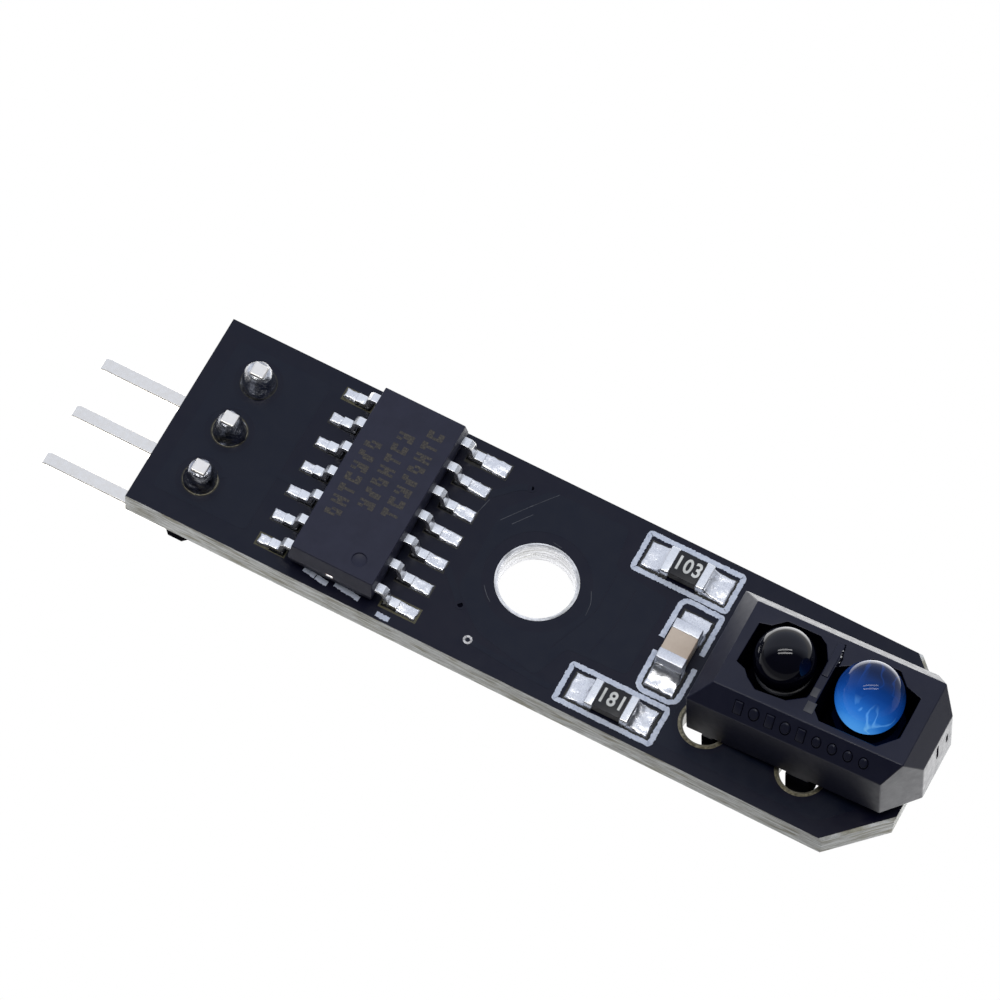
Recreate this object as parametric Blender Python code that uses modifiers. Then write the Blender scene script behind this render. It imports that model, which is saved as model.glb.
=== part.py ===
"""Reflective line-tracking sensor module: a small circuit board with a right-angle pin header,
a 14-lead logic chip, two chip resistors, a chip capacitor and a reflective infrared sensor.

The board's plan is drawn with its header end at x = 0, its front long edge at y = 0 and its
top face at z = 0. The parent empty then moves everything, so that the world origin is the
bottom centre of the whole module.
"""
import math

import bmesh
import bpy
from mathutils import Matrix, Vector

MM = 0.001
CONTACT_GAP = 0.02 * MM          # clearance kept between pieces that touch on the real module

# Circuit board
BOARD_LENGTH = 34.4 * MM
BOARD_WIDTH = 9.4 * MM
BOARD_THICKNESS = 1.3 * MM
BOARD_CHAMFER = 2.2 * MM         # both corners at the sensor end
MID_Y = BOARD_WIDTH / 2
MOUNT_HOLE_X = 16.75 * MM
MOUNT_HOLE_DIAMETER = 3.5 * MM
SEAT_HALF_X = 1.9 * MM           # the faces round the mounting hole that a screw seats on
SEAT_HALF_Y = 4.0 * MM
VIA_DIAMETER = 0.3 * MM
VIA_PLACES = [(14.45 * MM, 2.25 * MM), (15.45 * MM, 1.0 * MM), (14.6 * MM, 8.4 * MM)]

# Pin header, hung under the board
HEADER_PITCH = 2.54 * MM
HEADER_COUNT = 3
HEADER_X = 2.36 * MM
PIN_WIDTH = 0.64 * MM
PIN_TOP = 1.2 * MM               # how far a leg stands above the board
PIN_AXIS_DEPTH = 5.45 * MM       # from the board's top face down to the level run
PIN_REACH = 7.47 * MM            # level run, from the leg's axis to the tip
PIN_BEND_RADIUS = 0.75 * MM      # at the pin's middle
PIN_BEND_STEPS = 6
PIN_TIP_LENGTH = 0.25 * MM
PIN_TIP_HEIGHT = 0.44 * MM
PIN_HOLE_DIAMETER = 1.0 * MM
INSULATOR_SIZE = 2.54 * MM       # along x, and its height
INSULATOR_CORNER = 0.95 * MM     # cut corners of each break-off segment
INSULATOR_SHIFT = -0.5 * MM      # its middle lies a little towards the pin tips

# Logic chip, SOIC-14
CHIP_X = 9.3 * MM
CHIP_Y = 4.75 * MM
CHIP_BODY_WIDTH = 3.9 * MM
CHIP_BODY_LENGTH = 8.65 * MM
CHIP_STANDOFF = 0.15 * MM
CHIP_TOP = 1.6 * MM
CHIP_PARTING = 0.85 * MM
CHIP_SIDE_DRAFT = 0.08 * MM
CHIP_END_DRAFT = 0.18 * MM
CHIP_DOT_RADIUS = 0.33 * MM
CHIP_DOT_DEPTH = 0.06 * MM
CHIP_DOT_PLACE = (0.87 * MM, 0.95 * MM)      # from the body's middle, and from its front end
LEAD_PITCH = 1.27 * MM
LEADS_PER_SIDE = 7
LEAD_WIDTH = 0.42 * MM
LEAD_THICKNESS = 0.2 * MM
LEAD_SPAN = 6.0 * MM             # toe to toe
LEAD_FOOT = 0.55 * MM
LEAD_BURIED = 0.4 * MM
LEAD_SHOULDER = 0.42 * MM        # level run outside the body, with its bend
LEAD_SHOULDER_FLAT = 0.3 * MM    # the level part of it
LEAD_SHOULDER_DROP = 0.12 * MM
LEAD_HEEL_RUN = 0.12 * MM        # the bend above the foot, along it and upwards
LEAD_HEEL_RISE = 0.1 * MM
LEAD_LIFT = 0.06 * MM            # solder film under the foot
PADDLE_WIDTH = 2.2 * MM
PADDLE_LENGTH = 4.6 * MM
TIE_BAR_WIDTH = 0.35 * MM
CHIP_DIE_SIZE = (1.3 * MM, 1.7 * MM, 0.25 * MM)

# Chip resistors and capacitor, size 0805
CHIP_0805_LENGTH = 2.0 * MM
CHIP_0805_WIDTH = 1.25 * MM
RESISTOR_HEIGHT = 0.5 * MM
CAPACITOR_HEIGHT = 1.0 * MM
RESISTOR_TERMINAL = 0.38 * MM    # length of each end terminal
CAPACITOR_TERMINAL = 0.5 * MM
TERMINAL_WALL = 0.05 * MM
OVERCOAT_THICKNESS = 0.05 * MM
PASSIVE_LIFT = 0.05 * MM         # solder film under the terminals
RESISTOR_1_PLACE = (22.0 * MM, 8.03 * MM)
RESISTOR_2_PLACE = (21.96 * MM, 1.2 * MM)
CAPACITOR_PLACE = (23.3 * MM, 4.6 * MM)

# Reflective sensor, mounted with its outer end lifted
SENSOR_X = 30.07 * MM
SENSOR_Y = 4.55 * MM
SENSOR_TILT = math.radians(5.3)
SENSOR_BASE_HEIGHT = 0.51 * MM   # base plane above the board, at the housing's middle
HOUSING_LENGTH = 10.0 * MM
HOUSING_WIDTH = 5.5 * MM
HOUSING_HEIGHT = 3.67 * MM
HOUSING_WALL_TOP = 2.62 * MM     # where the slopes up to the top face begin
HOUSING_SLOPE_SIDE = 0.7 * MM
HOUSING_SLOPE_LEFT = 0.9 * MM
HOUSING_SLOPE_RIGHT = 0.62 * MM
HOUSING_CHAMFER_X = 1.27 * MM    # upright chamfers at the outer end
HOUSING_CHAMFER_Y = 1.4 * MM
HOUSING_FLOOR = 0.85 * MM
DETECTOR_WINDOW = (              # outlines on the top face; both close in on their lens
    (-3.66 * MM, -0.78 * MM), (-3.20 * MM, -0.94 * MM), (-2.94 * MM, -1.24 * MM),
    (-2.42 * MM, -1.60 * MM), (-1.16 * MM, -1.50 * MM), (-0.45 * MM, -1.00 * MM),
    (-0.39 * MM, -0.80 * MM), (-0.39 * MM, 0.85 * MM), (-0.74 * MM, 1.47 * MM),
    (-1.14 * MM, 1.72 * MM), (-2.60 * MM, 1.72 * MM), (-3.09 * MM, 1.28 * MM),
    (-3.61 * MM, 1.15 * MM))
EMITTER_WINDOW = (
    (0.02 * MM, -1.27 * MM), (0.47 * MM, -1.72 * MM), (3.00 * MM, -1.72 * MM),
    (3.70 * MM, -0.97 * MM), (3.70 * MM, 0.97 * MM), (2.97 * MM, 1.20 * MM),
    (2.48 * MM, 1.72 * MM), (1.22 * MM, 1.72 * MM), (0.70 * MM, 1.15 * MM),
    (0.02 * MM, 0.72 * MM))
PEG_HOLE_DIAMETER = 2.0 * MM
PEG_HOLE_Y = 2.31 * MM
PEG_HOLE_X = (25.7 * MM, 30.1 * MM)
PEG_MIDDLES = (-4.05 * MM, 0.03 * MM)
PEG_WIDTHS = (0.5 * MM, 1.04 * MM)
PEG_DEPTH = 0.75 * MM
PEG_LENGTH = 2.5 * MM
PEG_HOOK = 0.12 * MM
PEG_HOOK_START = 0.75 * MM       # both measured up from the peg's tip
PEG_HOOK_EDGE = 0.55 * MM
PEG_TIP_SETBACK = 0.2 * MM
PEG_BURIED = 0.4 * MM            # how far a peg's block runs up into the housing
DETECTOR_X = -1.95 * MM
EMITTER_X = 1.87 * MM
DETECTOR_LENS = (1.3 * MM, 1.5 * MM)         # widest radius, and dome height above it
EMITTER_LENS = (1.44 * MM, 1.75 * MM)
LENS_CENTRE_HEIGHT = 3.7 * MM    # where a lens is widest
LENS_NECK_ANGLE = 33             # degrees of the oval kept below its widest place
LENS_Y = 0.12 * MM
LENS_BASE_HALF_X = 1.5 * MM
LENS_BASE_HALF_Y = 1.55 * MM
LENS_BASE_HEIGHT = 1.1 * MM
LENS_BASE_CUT = 0.95 * MM
LENS_SOCKET_DEPTH = 0.95 * MM
LENS_DIE_ROOM = 0.6 * MM
SENSOR_LEAD_WIDTH = 0.42 * MM
SENSOR_LEAD_PITCH = 2.2 * MM
SENSOR_LEAD_BELOW = 2.9 * MM     # from the housing's base plane down to the lead's end
SENSOR_LEAD_HOLE = 1.0 * MM
SENSOR_LEAD_INSIDE = 0.75 * MM   # from the housing's floor up to the lead's top
SENSOR_LEAD_ROOM = 0.2 * MM      # how much wider the holes in the housing's floor are
LEAD_HEAD_HEIGHT = 0.25 * MM
LEAD_HEAD_DROP = 0.1 * MM        # below the lead's top
SENSOR_DIE_SIZE = (0.4 * MM, 0.4 * MM, 0.15 * MM)
SENSOR_DIE_Y = 0.42 * MM

# Solder joints of the pins and leads that pass through the board
HEADER_SOLDER = (0.78 * MM, 0.52 * MM, 1.05 * MM)   # foot radius, top radius, height
SENSOR_SOLDER = (0.85 * MM, 0.4 * MM, 0.7 * MM)
SOLDER_HOLLOW = 2.2              # how hollow the cone's sides are
SOLDER_STEPS = 5
SENSOR_SOLDER_ROOM = 0.12 * MM   # the tilted lead needs a wider opening

# Place of the drawn frame in the world: bottom centre of the module at the origin
MODULE_LOW_X = HEADER_X - PIN_REACH
MODULE_HIGH_X = SENSOR_X + HOUSING_LENGTH / 2 * math.cos(SENSOR_TILT)
MODULE_LOW_Z = -PIN_AXIS_DEPTH - PIN_WIDTH / 2
MODULE_PLACE = Vector((-(MODULE_LOW_X + MODULE_HIGH_X) / 2, -MID_Y, -MODULE_LOW_Z))


# ---------------------------------------------------------------- scene and materials

def clear_scene():
    for old in list(bpy.data.objects):
        bpy.data.objects.remove(old, do_unlink=True)


def add_collection(name):
    collection = bpy.data.collections.new(name)
    bpy.context.scene.collection.children.link(collection)
    return collection


def add_material(name, colour, roughness, metallic=0.0):
    material = bpy.data.materials.new(name)
    material.use_nodes = True
    shader = material.node_tree.nodes["Principled BSDF"]
    shader.inputs["Base Color"].default_value = (*colour, 1.0)
    shader.inputs["Roughness"].default_value = roughness
    shader.inputs["Metallic"].default_value = metallic
    return material


def add_empty(name, location, parent=None, rotation=(0.0, 0.0, 0.0)):
    empty = bpy.data.objects.new(name, None)
    empty.empty_display_size = 2 * MM
    empty.location = location
    empty.rotation_euler = rotation
    empty.parent = parent
    parts.objects.link(empty)
    return empty


# ---------------------------------------------------------------- modelling tools

def add_object(name, data, location, parent, material=None):
    """Links a new object; without a material it is a cutter."""
    made = bpy.data.objects.new(name, data)
    made.location = location
    made.parent = parent
    if material is None:
        cutters.objects.link(made)
        made.hide_render = True
        made.display_type = "WIRE"
    else:
        parts.objects.link(made)
        data.materials.append(material)
    return made


def box(name, size, location, parent, material=None):
    shape = bmesh.new()
    bmesh.ops.create_cube(shape, size=1.0)
    bmesh.ops.scale(shape, vec=size, verts=shape.verts)
    mesh = bpy.data.meshes.new(name)
    shape.to_mesh(mesh)
    shape.free()
    return add_object(name, mesh, location, parent, material)


def cylinder(name, radius, height, location, parent, segments=32):
    """A round cutter."""
    shape = bmesh.new()
    bmesh.ops.create_cone(
        shape, cap_ends=True, segments=segments, radius1=radius, radius2=radius, depth=height)
    mesh = bpy.data.meshes.new(name)
    shape.to_mesh(mesh)
    shape.free()
    return add_object(name, mesh, location, parent)


def plate(name, outline, thickness, location, parent, material=None):
    """A flat outline in the xy plane, extruded evenly about its own plane, as a mesh."""
    curve = bpy.data.curves.new(name, "CURVE")
    curve.dimensions = "2D"
    curve.fill_mode = "BOTH"
    curve.extrude = thickness / 2
    spline = curve.splines.new("POLY")
    spline.points.add(len(outline) - 1)
    for point, (x, y) in zip(spline.points, outline):
        point.co = (x, y, 0.0, 1.0)
    spline.use_cyclic_u = True
    drawn = bpy.data.objects.new(name + "_outline", curve)
    bpy.context.scene.collection.objects.link(drawn)
    bpy.context.view_layer.update()
    seen = drawn.evaluated_get(bpy.context.evaluated_depsgraph_get())
    mesh = bpy.data.meshes.new_from_object(seen)
    bpy.data.objects.remove(drawn)
    shape = bmesh.new()
    shape.from_mesh(mesh)
    bmesh.ops.remove_doubles(shape, verts=shape.verts, dist=0.001 * MM)
    bmesh.ops.dissolve_limit(shape, angle_limit=0.01, verts=shape.verts, edges=shape.edges)
    bmesh.ops.recalc_face_normals(shape, faces=shape.faces)
    shape.to_mesh(mesh)
    shape.free()
    mesh.name = name
    return add_object(name, mesh, location, parent, material)


def turned(name, profile, location, parent, material, steps=24):
    """A profile of (radius, height) points, top to bottom, turned about z by a Screw."""
    mesh = bpy.data.meshes.new(name)
    points = [(radius, 0.0, height) for radius, height in profile]
    mesh.from_pydata(points, [(i, i + 1) for i in range(len(points) - 1)], [])
    made = add_object(name, mesh, location, parent, material)
    screw = made.modifiers.new("turn", "SCREW")
    screw.axis = "Z"
    screw.steps = steps
    screw.render_steps = steps
    screw.use_merge_vertices = True
    screw.merge_threshold = 0.000001
    return made


def divide(piece, place, normal):
    """Adds the edges where a plane crosses the piece, and leaves its shape as it is."""
    shape = bmesh.new()
    shape.from_mesh(piece.data)
    everything = shape.verts[:] + shape.edges[:] + shape.faces[:]
    bmesh.ops.bisect_plane(
        shape, geom=everything, plane_co=place, plane_no=normal, dist=0.001 * MM)
    shape.to_mesh(piece.data)
    shape.free()


def combine(piece, other, operation="DIFFERENCE"):
    boolean = piece.modifiers.new(other.name, "BOOLEAN")
    boolean.operation = operation
    boolean.solver = "EXACT"
    boolean.object = other
    return piece


def shade_round(piece, angle=math.radians(35)):
    piece.data.shade_smooth()
    piece.data.set_sharp_from_angle(angle=angle)


def cut_rectangle(half_x, half_y, cut_left, cut_right):
    """Rectangle outline about the origin; each cut is (along x, along y), or None."""
    outline = []
    for sign_x, sign_y, cut in ((-1, -1, cut_left), (1, -1, cut_right),
                                (1, 1, cut_right), (-1, 1, cut_left)):
        corner = Vector((sign_x * half_x, sign_y * half_y))
        if cut is None:
            outline.append(corner)
            continue
        along_x = corner - Vector((sign_x * cut[0], 0.0))
        along_y = corner - Vector((0.0, sign_y * cut[1]))
        outline += [along_y, along_x] if sign_x == sign_y else [along_x, along_y]
    return [tuple(point) for point in outline]


def strip_outline(path, thickness):
    """Outline of a bent strip, from the points of its middle line."""
    near, far = [], []
    for index, point in enumerate(path):
        before = path[max(index - 1, 0)]
        after = path[min(index + 1, len(path) - 1)]
        into = (Vector(point) - Vector(before)).normalized() if index else None
        out = (Vector(after) - Vector(point)).normalized() if index < len(path) - 1 else None
        into = into or out
        out = out or into
        mitre = (into + out).normalized()
        side = Vector((-mitre.y, mitre.x)) * thickness / 2 / mitre.dot(into)
        near.append(tuple(Vector(point) + side))
        far.append(tuple(Vector(point) - side))
    return near + far[::-1]


def stand_up(piece):
    """Turns a plate drawn in the xy plane so that its drawn y axis points up."""
    piece.data.transform(Matrix.Rotation(math.pi / 2, 4, "X"))
    return piece


def arc(centre, radius, start, end, steps):
    """Points of an arc, angles in degrees."""
    points = []
    for step in range(steps + 1):
        angle = math.radians(start + (end - start) * step / steps)
        points.append((centre[0] + radius * math.cos(angle), centre[1] + radius * math.sin(angle)))
    return points


# ---------------------------------------------------------------- circuit board

def sensor_point(x, y, z):
    """A point of the sensor's own frame, in the board's frame."""
    turn = Matrix.Rotation(-SENSOR_TILT, 3, "Y")
    return Vector((SENSOR_X, SENSOR_Y, SENSOR_BASE_HEIGHT)) + turn @ Vector((x, y, z))


def lead_crossing(x, y, height):
    """Where a sensor lead at (x, y) of the sensor's frame passes a level of the board's frame."""
    top = sensor_point(x, y, 0.0)
    down = sensor_point(x, y, -1.0) - top
    return top + down * ((height - top.z) / down.z)


def sensor_lead_places():
    half = SENSOR_LEAD_PITCH / 2
    return [(x, LENS_Y + row * half) for x in (DETECTOR_X, EMITTER_X) for row in (-1, 1)]


def header_rows():
    first = MID_Y - HEADER_PITCH * (HEADER_COUNT - 1) / 2
    return [first + HEADER_PITCH * index for index in range(HEADER_COUNT)]


def make_board(parent):
    chamfer = BOARD_CHAMFER
    outline = [
        (0.0, 0.0), (BOARD_LENGTH - chamfer, 0.0), (BOARD_LENGTH, chamfer),
        (BOARD_LENGTH, BOARD_WIDTH - chamfer), (BOARD_LENGTH - chamfer, BOARD_WIDTH),
        (0.0, BOARD_WIDTH)]
    middle = -BOARD_THICKNESS / 2
    board = plate("circuit_board", outline, BOARD_THICKNESS, (0, 0, middle), parent, laminate)
    divide(board, (MOUNT_HOLE_X - SEAT_HALF_X, 0, 0), (1, 0, 0))
    divide(board, (MOUNT_HOLE_X + SEAT_HALF_X, 0, 0), (1, 0, 0))
    divide(board, (0, MID_Y - SEAT_HALF_Y, 0), (0, 1, 0))
    divide(board, (0, MID_Y + SEAT_HALF_Y, 0), (0, 1, 0))
    holes = [("mount_hole", MOUNT_HOLE_X, MID_Y, MOUNT_HOLE_DIAMETER, 48)]
    for index, y in enumerate(header_rows(), 1):
        holes.append((f"pin_hole_{index}", HEADER_X, y, PIN_HOLE_DIAMETER, 24))
    for index, x in enumerate(PEG_HOLE_X, 1):
        holes.append((f"peg_hole_{index}", x, PEG_HOLE_Y, PEG_HOLE_DIAMETER, 32))
    for index, (x, y) in enumerate(sensor_lead_places(), 1):
        crossing = lead_crossing(x, y, middle)
        holes.append((f"lead_hole_{index}", crossing.x, crossing.y, SENSOR_LEAD_HOLE, 20))
    for index, (x, y) in enumerate(VIA_PLACES, 1):
        holes.append((f"via_{index}", x, y, VIA_DIAMETER, 12))
    for name, x, y, diameter, segments in holes:
        place = (x, y, middle)
        combine(board, cylinder(name, diameter / 2, 2 * BOARD_THICKNESS, place, parent, segments))


# ---------------------------------------------------------------- pin header

def make_insulator(parent):
    """Black moulding under the board: one segment with cut corners for each pin."""
    half = INSULATOR_SIZE / 2
    corner = INSULATOR_CORNER
    front, back = [], []
    for y in header_rows():
        left = HEADER_X + INSULATOR_SHIFT - half
        right = HEADER_X + INSULATOR_SHIFT + half
        low, high = y - HEADER_PITCH / 2, y + HEADER_PITCH / 2
        front += [(left + corner, low), (left, low + corner), (left, high - corner)]
        back += [(right - corner, low), (right, low + corner), (right, high - corner)]
    front.append((left + corner, high))
    back.append((right - corner, high))
    top = -BOARD_THICKNESS - CONTACT_GAP
    place = (0, 0, top - INSULATOR_SIZE / 2)
    block = plate(
        "header_insulator", back + front[::-1], INSULATOR_SIZE, place, parent, black_plastic)
    opening = PIN_WIDTH + 2 * CONTACT_GAP
    for index, y in enumerate(header_rows(), 1):
        hole = box(f"insulator_hole_{index}", (opening, opening, 2 * INSULATOR_SIZE),
                   (HEADER_X, y, place[2]), parent)
        combine(block, hole)


def make_header_pins(parent):
    """Square pins: down through board and moulding, then level towards -x."""
    bend = (HEADER_X - PIN_BEND_RADIUS, -PIN_AXIS_DEPTH + PIN_BEND_RADIUS)
    middle_line = [(HEADER_X, PIN_TOP)]
    middle_line += arc(bend, PIN_BEND_RADIUS, 0, -90, PIN_BEND_STEPS)
    middle_line.append((HEADER_X - PIN_REACH + PIN_TIP_LENGTH, -PIN_AXIS_DEPTH))
    outline = strip_outline(middle_line, PIN_WIDTH)
    tip = [(HEADER_X - PIN_REACH, -PIN_AXIS_DEPTH - PIN_TIP_HEIGHT / 2),
           (HEADER_X - PIN_REACH, -PIN_AXIS_DEPTH + PIN_TIP_HEIGHT / 2)]
    half = len(outline) // 2
    outline = outline[:half] + tip + outline[half:]
    for index, y in enumerate(header_rows(), 1):
        stand_up(plate(f"header_pin_{index}", outline, PIN_WIDTH, (0, y, 0), parent, tinned_pin))


def solder_profile(foot, top, height):
    """Hollow-sided solder cone, from its top rim down to its foot."""
    points = [(0.0, height)]
    for step in range(SOLDER_STEPS + 1):
        down = step / SOLDER_STEPS
        points.append((top + (foot - top) * down ** SOLDER_HOLLOW, height * (1 - down)))
    points.append((0.0, 0.0))
    return points


def make_header_solder(parent):
    opening = PIN_WIDTH + 2 * CONTACT_GAP
    for index, y in enumerate(header_rows(), 1):
        place = (HEADER_X, y, CONTACT_GAP)
        joint = turned(f"header_solder_{index}", solder_profile(*HEADER_SOLDER), place, parent,
                       solder)
        hole = box(f"solder_hole_{index}", (opening, opening, 4 * HEADER_SOLDER[2]), place, parent)
        combine(joint, hole)
        shade_round(joint)


# ---------------------------------------------------------------- logic chip

def make_chip_body(parent):
    size = (CHIP_BODY_WIDTH, CHIP_BODY_LENGTH, CHIP_TOP - CHIP_STANDOFF)
    body = box("chip_body", size, (CHIP_X, CHIP_Y, (CHIP_TOP + CHIP_STANDOFF) / 2), parent,
               epoxy)
    parting = CHIP_PARTING - (CHIP_TOP + CHIP_STANDOFF) / 2
    divide(body, (0, 0, parting), (0, 0, 1))
    for vert in body.data.vertices:
        if abs(vert.co.z - parting) > 0.01 * MM:
            vert.co.x -= math.copysign(CHIP_SIDE_DRAFT, vert.co.x)
            vert.co.y -= math.copysign(CHIP_END_DRAFT, vert.co.y)

    gap = CONTACT_GAP
    slot_size = (2 * (LEAD_BURIED + gap), LEAD_WIDTH + 2 * gap, LEAD_THICKNESS + 2 * gap)
    for name, side, y in chip_lead_places():
        place = (CHIP_X + side * CHIP_BODY_WIDTH / 2, y, CHIP_PARTING)
        combine(body, box(name + "_slot", slot_size, place, parent))
    room = LEAD_THICKNESS + 2 * gap
    centre = (CHIP_X, CHIP_Y, CHIP_PARTING)
    paddle_room = (PADDLE_WIDTH + 2 * gap, PADDLE_LENGTH + 2 * gap, room)
    combine(body, box("paddle_room", paddle_room, centre, parent))
    tie_bar_room = (TIE_BAR_WIDTH + 2 * gap, 2 * CHIP_BODY_LENGTH, room)
    combine(body, box("tie_bar_room", tie_bar_room, centre, parent))
    die_room = [side + 2 * gap for side in CHIP_DIE_SIZE[:2]] + [CHIP_DIE_SIZE[2] + 3 * gap]
    combine(body, box("chip_die_room", die_room, chip_die_place(), parent))
    dot_place = (CHIP_X + CHIP_DOT_PLACE[0],
                 CHIP_Y - CHIP_BODY_LENGTH / 2 + CHIP_DOT_PLACE[1], CHIP_TOP)
    combine(body, cylinder("pin_one_dot", CHIP_DOT_RADIUS, 2 * CHIP_DOT_DEPTH, dot_place, parent))


def chip_lead_places():
    """Name, side of the body and y of each lead; lead 1 is front right, 8 back left."""
    first = CHIP_Y - LEAD_PITCH * (LEADS_PER_SIDE - 1) / 2
    places = []
    for index in range(LEADS_PER_SIDE):
        y = first + LEAD_PITCH * index
        places.append((f"chip_lead_{index + 1:02d}", 1, y))
        places.append((f"chip_lead_{2 * LEADS_PER_SIDE - index:02d}", -1, y))
    return sorted(places)


def make_chip_leads(parent):
    """Gull-wing leads: out of the parting plane, down, and out along the pad."""
    foot_height = LEAD_LIFT + LEAD_THICKNESS / 2
    toe = LEAD_SPAN / 2
    heel = toe - LEAD_FOOT
    root = CHIP_BODY_WIDTH / 2
    middle_line = [
        (root - LEAD_BURIED, CHIP_PARTING), (root + LEAD_SHOULDER_FLAT, CHIP_PARTING),
        (root + LEAD_SHOULDER, CHIP_PARTING - LEAD_SHOULDER_DROP),
        (heel, foot_height + LEAD_HEEL_RISE), (heel + LEAD_HEEL_RUN, foot_height),
        (toe, foot_height)]
    for name, side, y in chip_lead_places():
        outline = strip_outline([(side * x, z) for x, z in middle_line], LEAD_THICKNESS)
        stand_up(plate(name, outline, LEAD_WIDTH, (CHIP_X, y, 0), parent, tinned_lead))


def paddle_outline():
    """Die paddle with a tie bar to each end of the body."""
    wide = PADDLE_WIDTH / 2
    long = PADDLE_LENGTH / 2
    bar = TIE_BAR_WIDTH / 2
    end = CHIP_BODY_LENGTH / 2 - CONTACT_GAP
    return [(-wide, -long), (-bar, -long), (-bar, -end), (bar, -end), (bar, -long), (wide, -long),
            (wide, long), (bar, long), (bar, end), (-bar, end), (-bar, long), (-wide, long)]


def chip_die_place():
    height = CHIP_PARTING + LEAD_THICKNESS / 2 + CONTACT_GAP + CHIP_DIE_SIZE[2] / 2
    return (CHIP_X, CHIP_Y, height)


def make_chip_inside(parent):
    centre = (CHIP_X, CHIP_Y, CHIP_PARTING)
    plate("chip_die_paddle", paddle_outline(), LEAD_THICKNESS, centre, parent, copper)
    box("chip_die", CHIP_DIE_SIZE, chip_die_place(), parent, silicon)


# ---------------------------------------------------------------- resistors and capacitor

def make_passive(name, place, height, terminal, turn, body_material, parent):
    """A size 0805 body between two cup-shaped end terminals."""
    frame = add_empty(name + "_frame", (*place, PASSIVE_LIFT), parent, (0, 0, turn))
    wall = TERMINAL_WALL
    inner = (CHIP_0805_LENGTH - 2 * wall, CHIP_0805_WIDTH - 2 * wall, height - 2 * wall)
    middle = (0, 0, height / 2)
    box(name + "_body", inner, middle, frame, body_material)
    pocket_size = [side + 2 * CONTACT_GAP for side in inner]
    pocket = box(name + "_pocket", pocket_size, middle, frame)
    for side, end in ((-1, "a"), (1, "b")):
        x = side * (CHIP_0805_LENGTH - terminal) / 2
        size = (terminal, CHIP_0805_WIDTH, height)
        cup = box(f"{name}_terminal_{end}", size, (x, 0, height / 2), frame, tinned_lead)
        combine(cup, pocket)
    return frame


def make_resistor(name, place, parent):
    """A white ceramic body with a black overcoat between its terminals."""
    frame = make_passive(name, place, RESISTOR_HEIGHT, RESISTOR_TERMINAL, 0.0, alumina, parent)
    free_length = CHIP_0805_LENGTH - 2 * RESISTOR_TERMINAL - 2 * CONTACT_GAP
    size = (free_length, CHIP_0805_WIDTH - 2 * TERMINAL_WALL, OVERCOAT_THICKNESS)
    height = RESISTOR_HEIGHT - TERMINAL_WALL + CONTACT_GAP + OVERCOAT_THICKNESS / 2
    box(name + "_overcoat", size, (0, 0, height), frame, glaze)


# ---------------------------------------------------------------- reflective sensor

def make_housing(frame):
    """Black housing with sloped upper edges, two windows and two snap pegs."""
    half_x, half_y = HOUSING_LENGTH / 2, HOUSING_WIDTH / 2
    outline = cut_rectangle(half_x, half_y, None, (HOUSING_CHAMFER_X, HOUSING_CHAMFER_Y))
    housing = plate("sensor_housing", outline, HOUSING_HEIGHT, (0, 0, 0), frame, black_plastic)
    housing.data.transform(Matrix.Translation((0, 0, HOUSING_HEIGHT / 2)))
    rise = HOUSING_HEIGHT - HOUSING_WALL_TOP
    slopes = [((0, -half_y), (0, -1), HOUSING_SLOPE_SIDE), ((0, half_y), (0, 1), HOUSING_SLOPE_SIDE),
              ((-half_x, 0), (-1, 0), HOUSING_SLOPE_LEFT), ((half_x, 0), (1, 0), HOUSING_SLOPE_RIGHT)]
    shape = bmesh.new()
    shape.from_mesh(housing.data)
    for place, outward, run in slopes:
        normal = Vector((outward[0] * rise, outward[1] * rise, run))
        everything = shape.verts[:] + shape.edges[:] + shape.faces[:]
        made = bmesh.ops.bisect_plane(
            shape, geom=everything, plane_co=(*place, HOUSING_WALL_TOP), plane_no=normal,
            dist=0.0001 * MM, clear_outer=True)
        rim = [item for item in made["geom_cut"] if isinstance(item, bmesh.types.BMEdge)]
        bmesh.ops.edgenet_fill(shape, edges=rim)
    bmesh.ops.recalc_face_normals(shape, faces=shape.faces)
    shape.to_mesh(housing.data)
    shape.free()

    well_height = 2 * (HOUSING_HEIGHT - HOUSING_FLOOR)
    windows = (("detector_window", DETECTOR_WINDOW), ("emitter_window", EMITTER_WINDOW))
    for name, outline in windows:
        place = (0, 0, HOUSING_HEIGHT)
        combine(housing, plate(name, outline, well_height, place, frame))
    opening = SENSOR_LEAD_WIDTH + SENSOR_LEAD_ROOM
    for index, (x, y) in enumerate(sensor_lead_places(), 1):
        size = (opening, opening, 4 * HOUSING_FLOOR)
        combine(housing, box(f"housing_lead_hole_{index}", size, (x, y, 0), frame))
    for index, (x, width) in enumerate(zip(PEG_MIDDLES, PEG_WIDTHS), 1):
        peg = stand_peg(f"snap_peg_{index}", x, width, frame)
        combine(housing, peg, "UNION")


def stand_peg(name, x, width, frame):
    """A snap peg with a lead-in slope and a small hook, drawn in profile and joined on."""
    front = -HOUSING_WIDTH / 2
    profile = [
        (front, PEG_BURIED), (front, -PEG_LENGTH + PEG_HOOK_START),
        (front - PEG_HOOK, -PEG_LENGTH + PEG_HOOK_EDGE),
        (front + PEG_TIP_SETBACK, -PEG_LENGTH), (front + PEG_DEPTH, -PEG_LENGTH),
        (front + PEG_DEPTH, PEG_BURIED)]
    peg = plate(name, profile, width, (x, 0, 0), frame)
    peg.data.transform(Matrix.Rotation(math.pi / 2, 4, "X"))
    peg.data.transform(Matrix.Rotation(math.pi / 2, 4, "Z"))
    return peg


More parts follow.
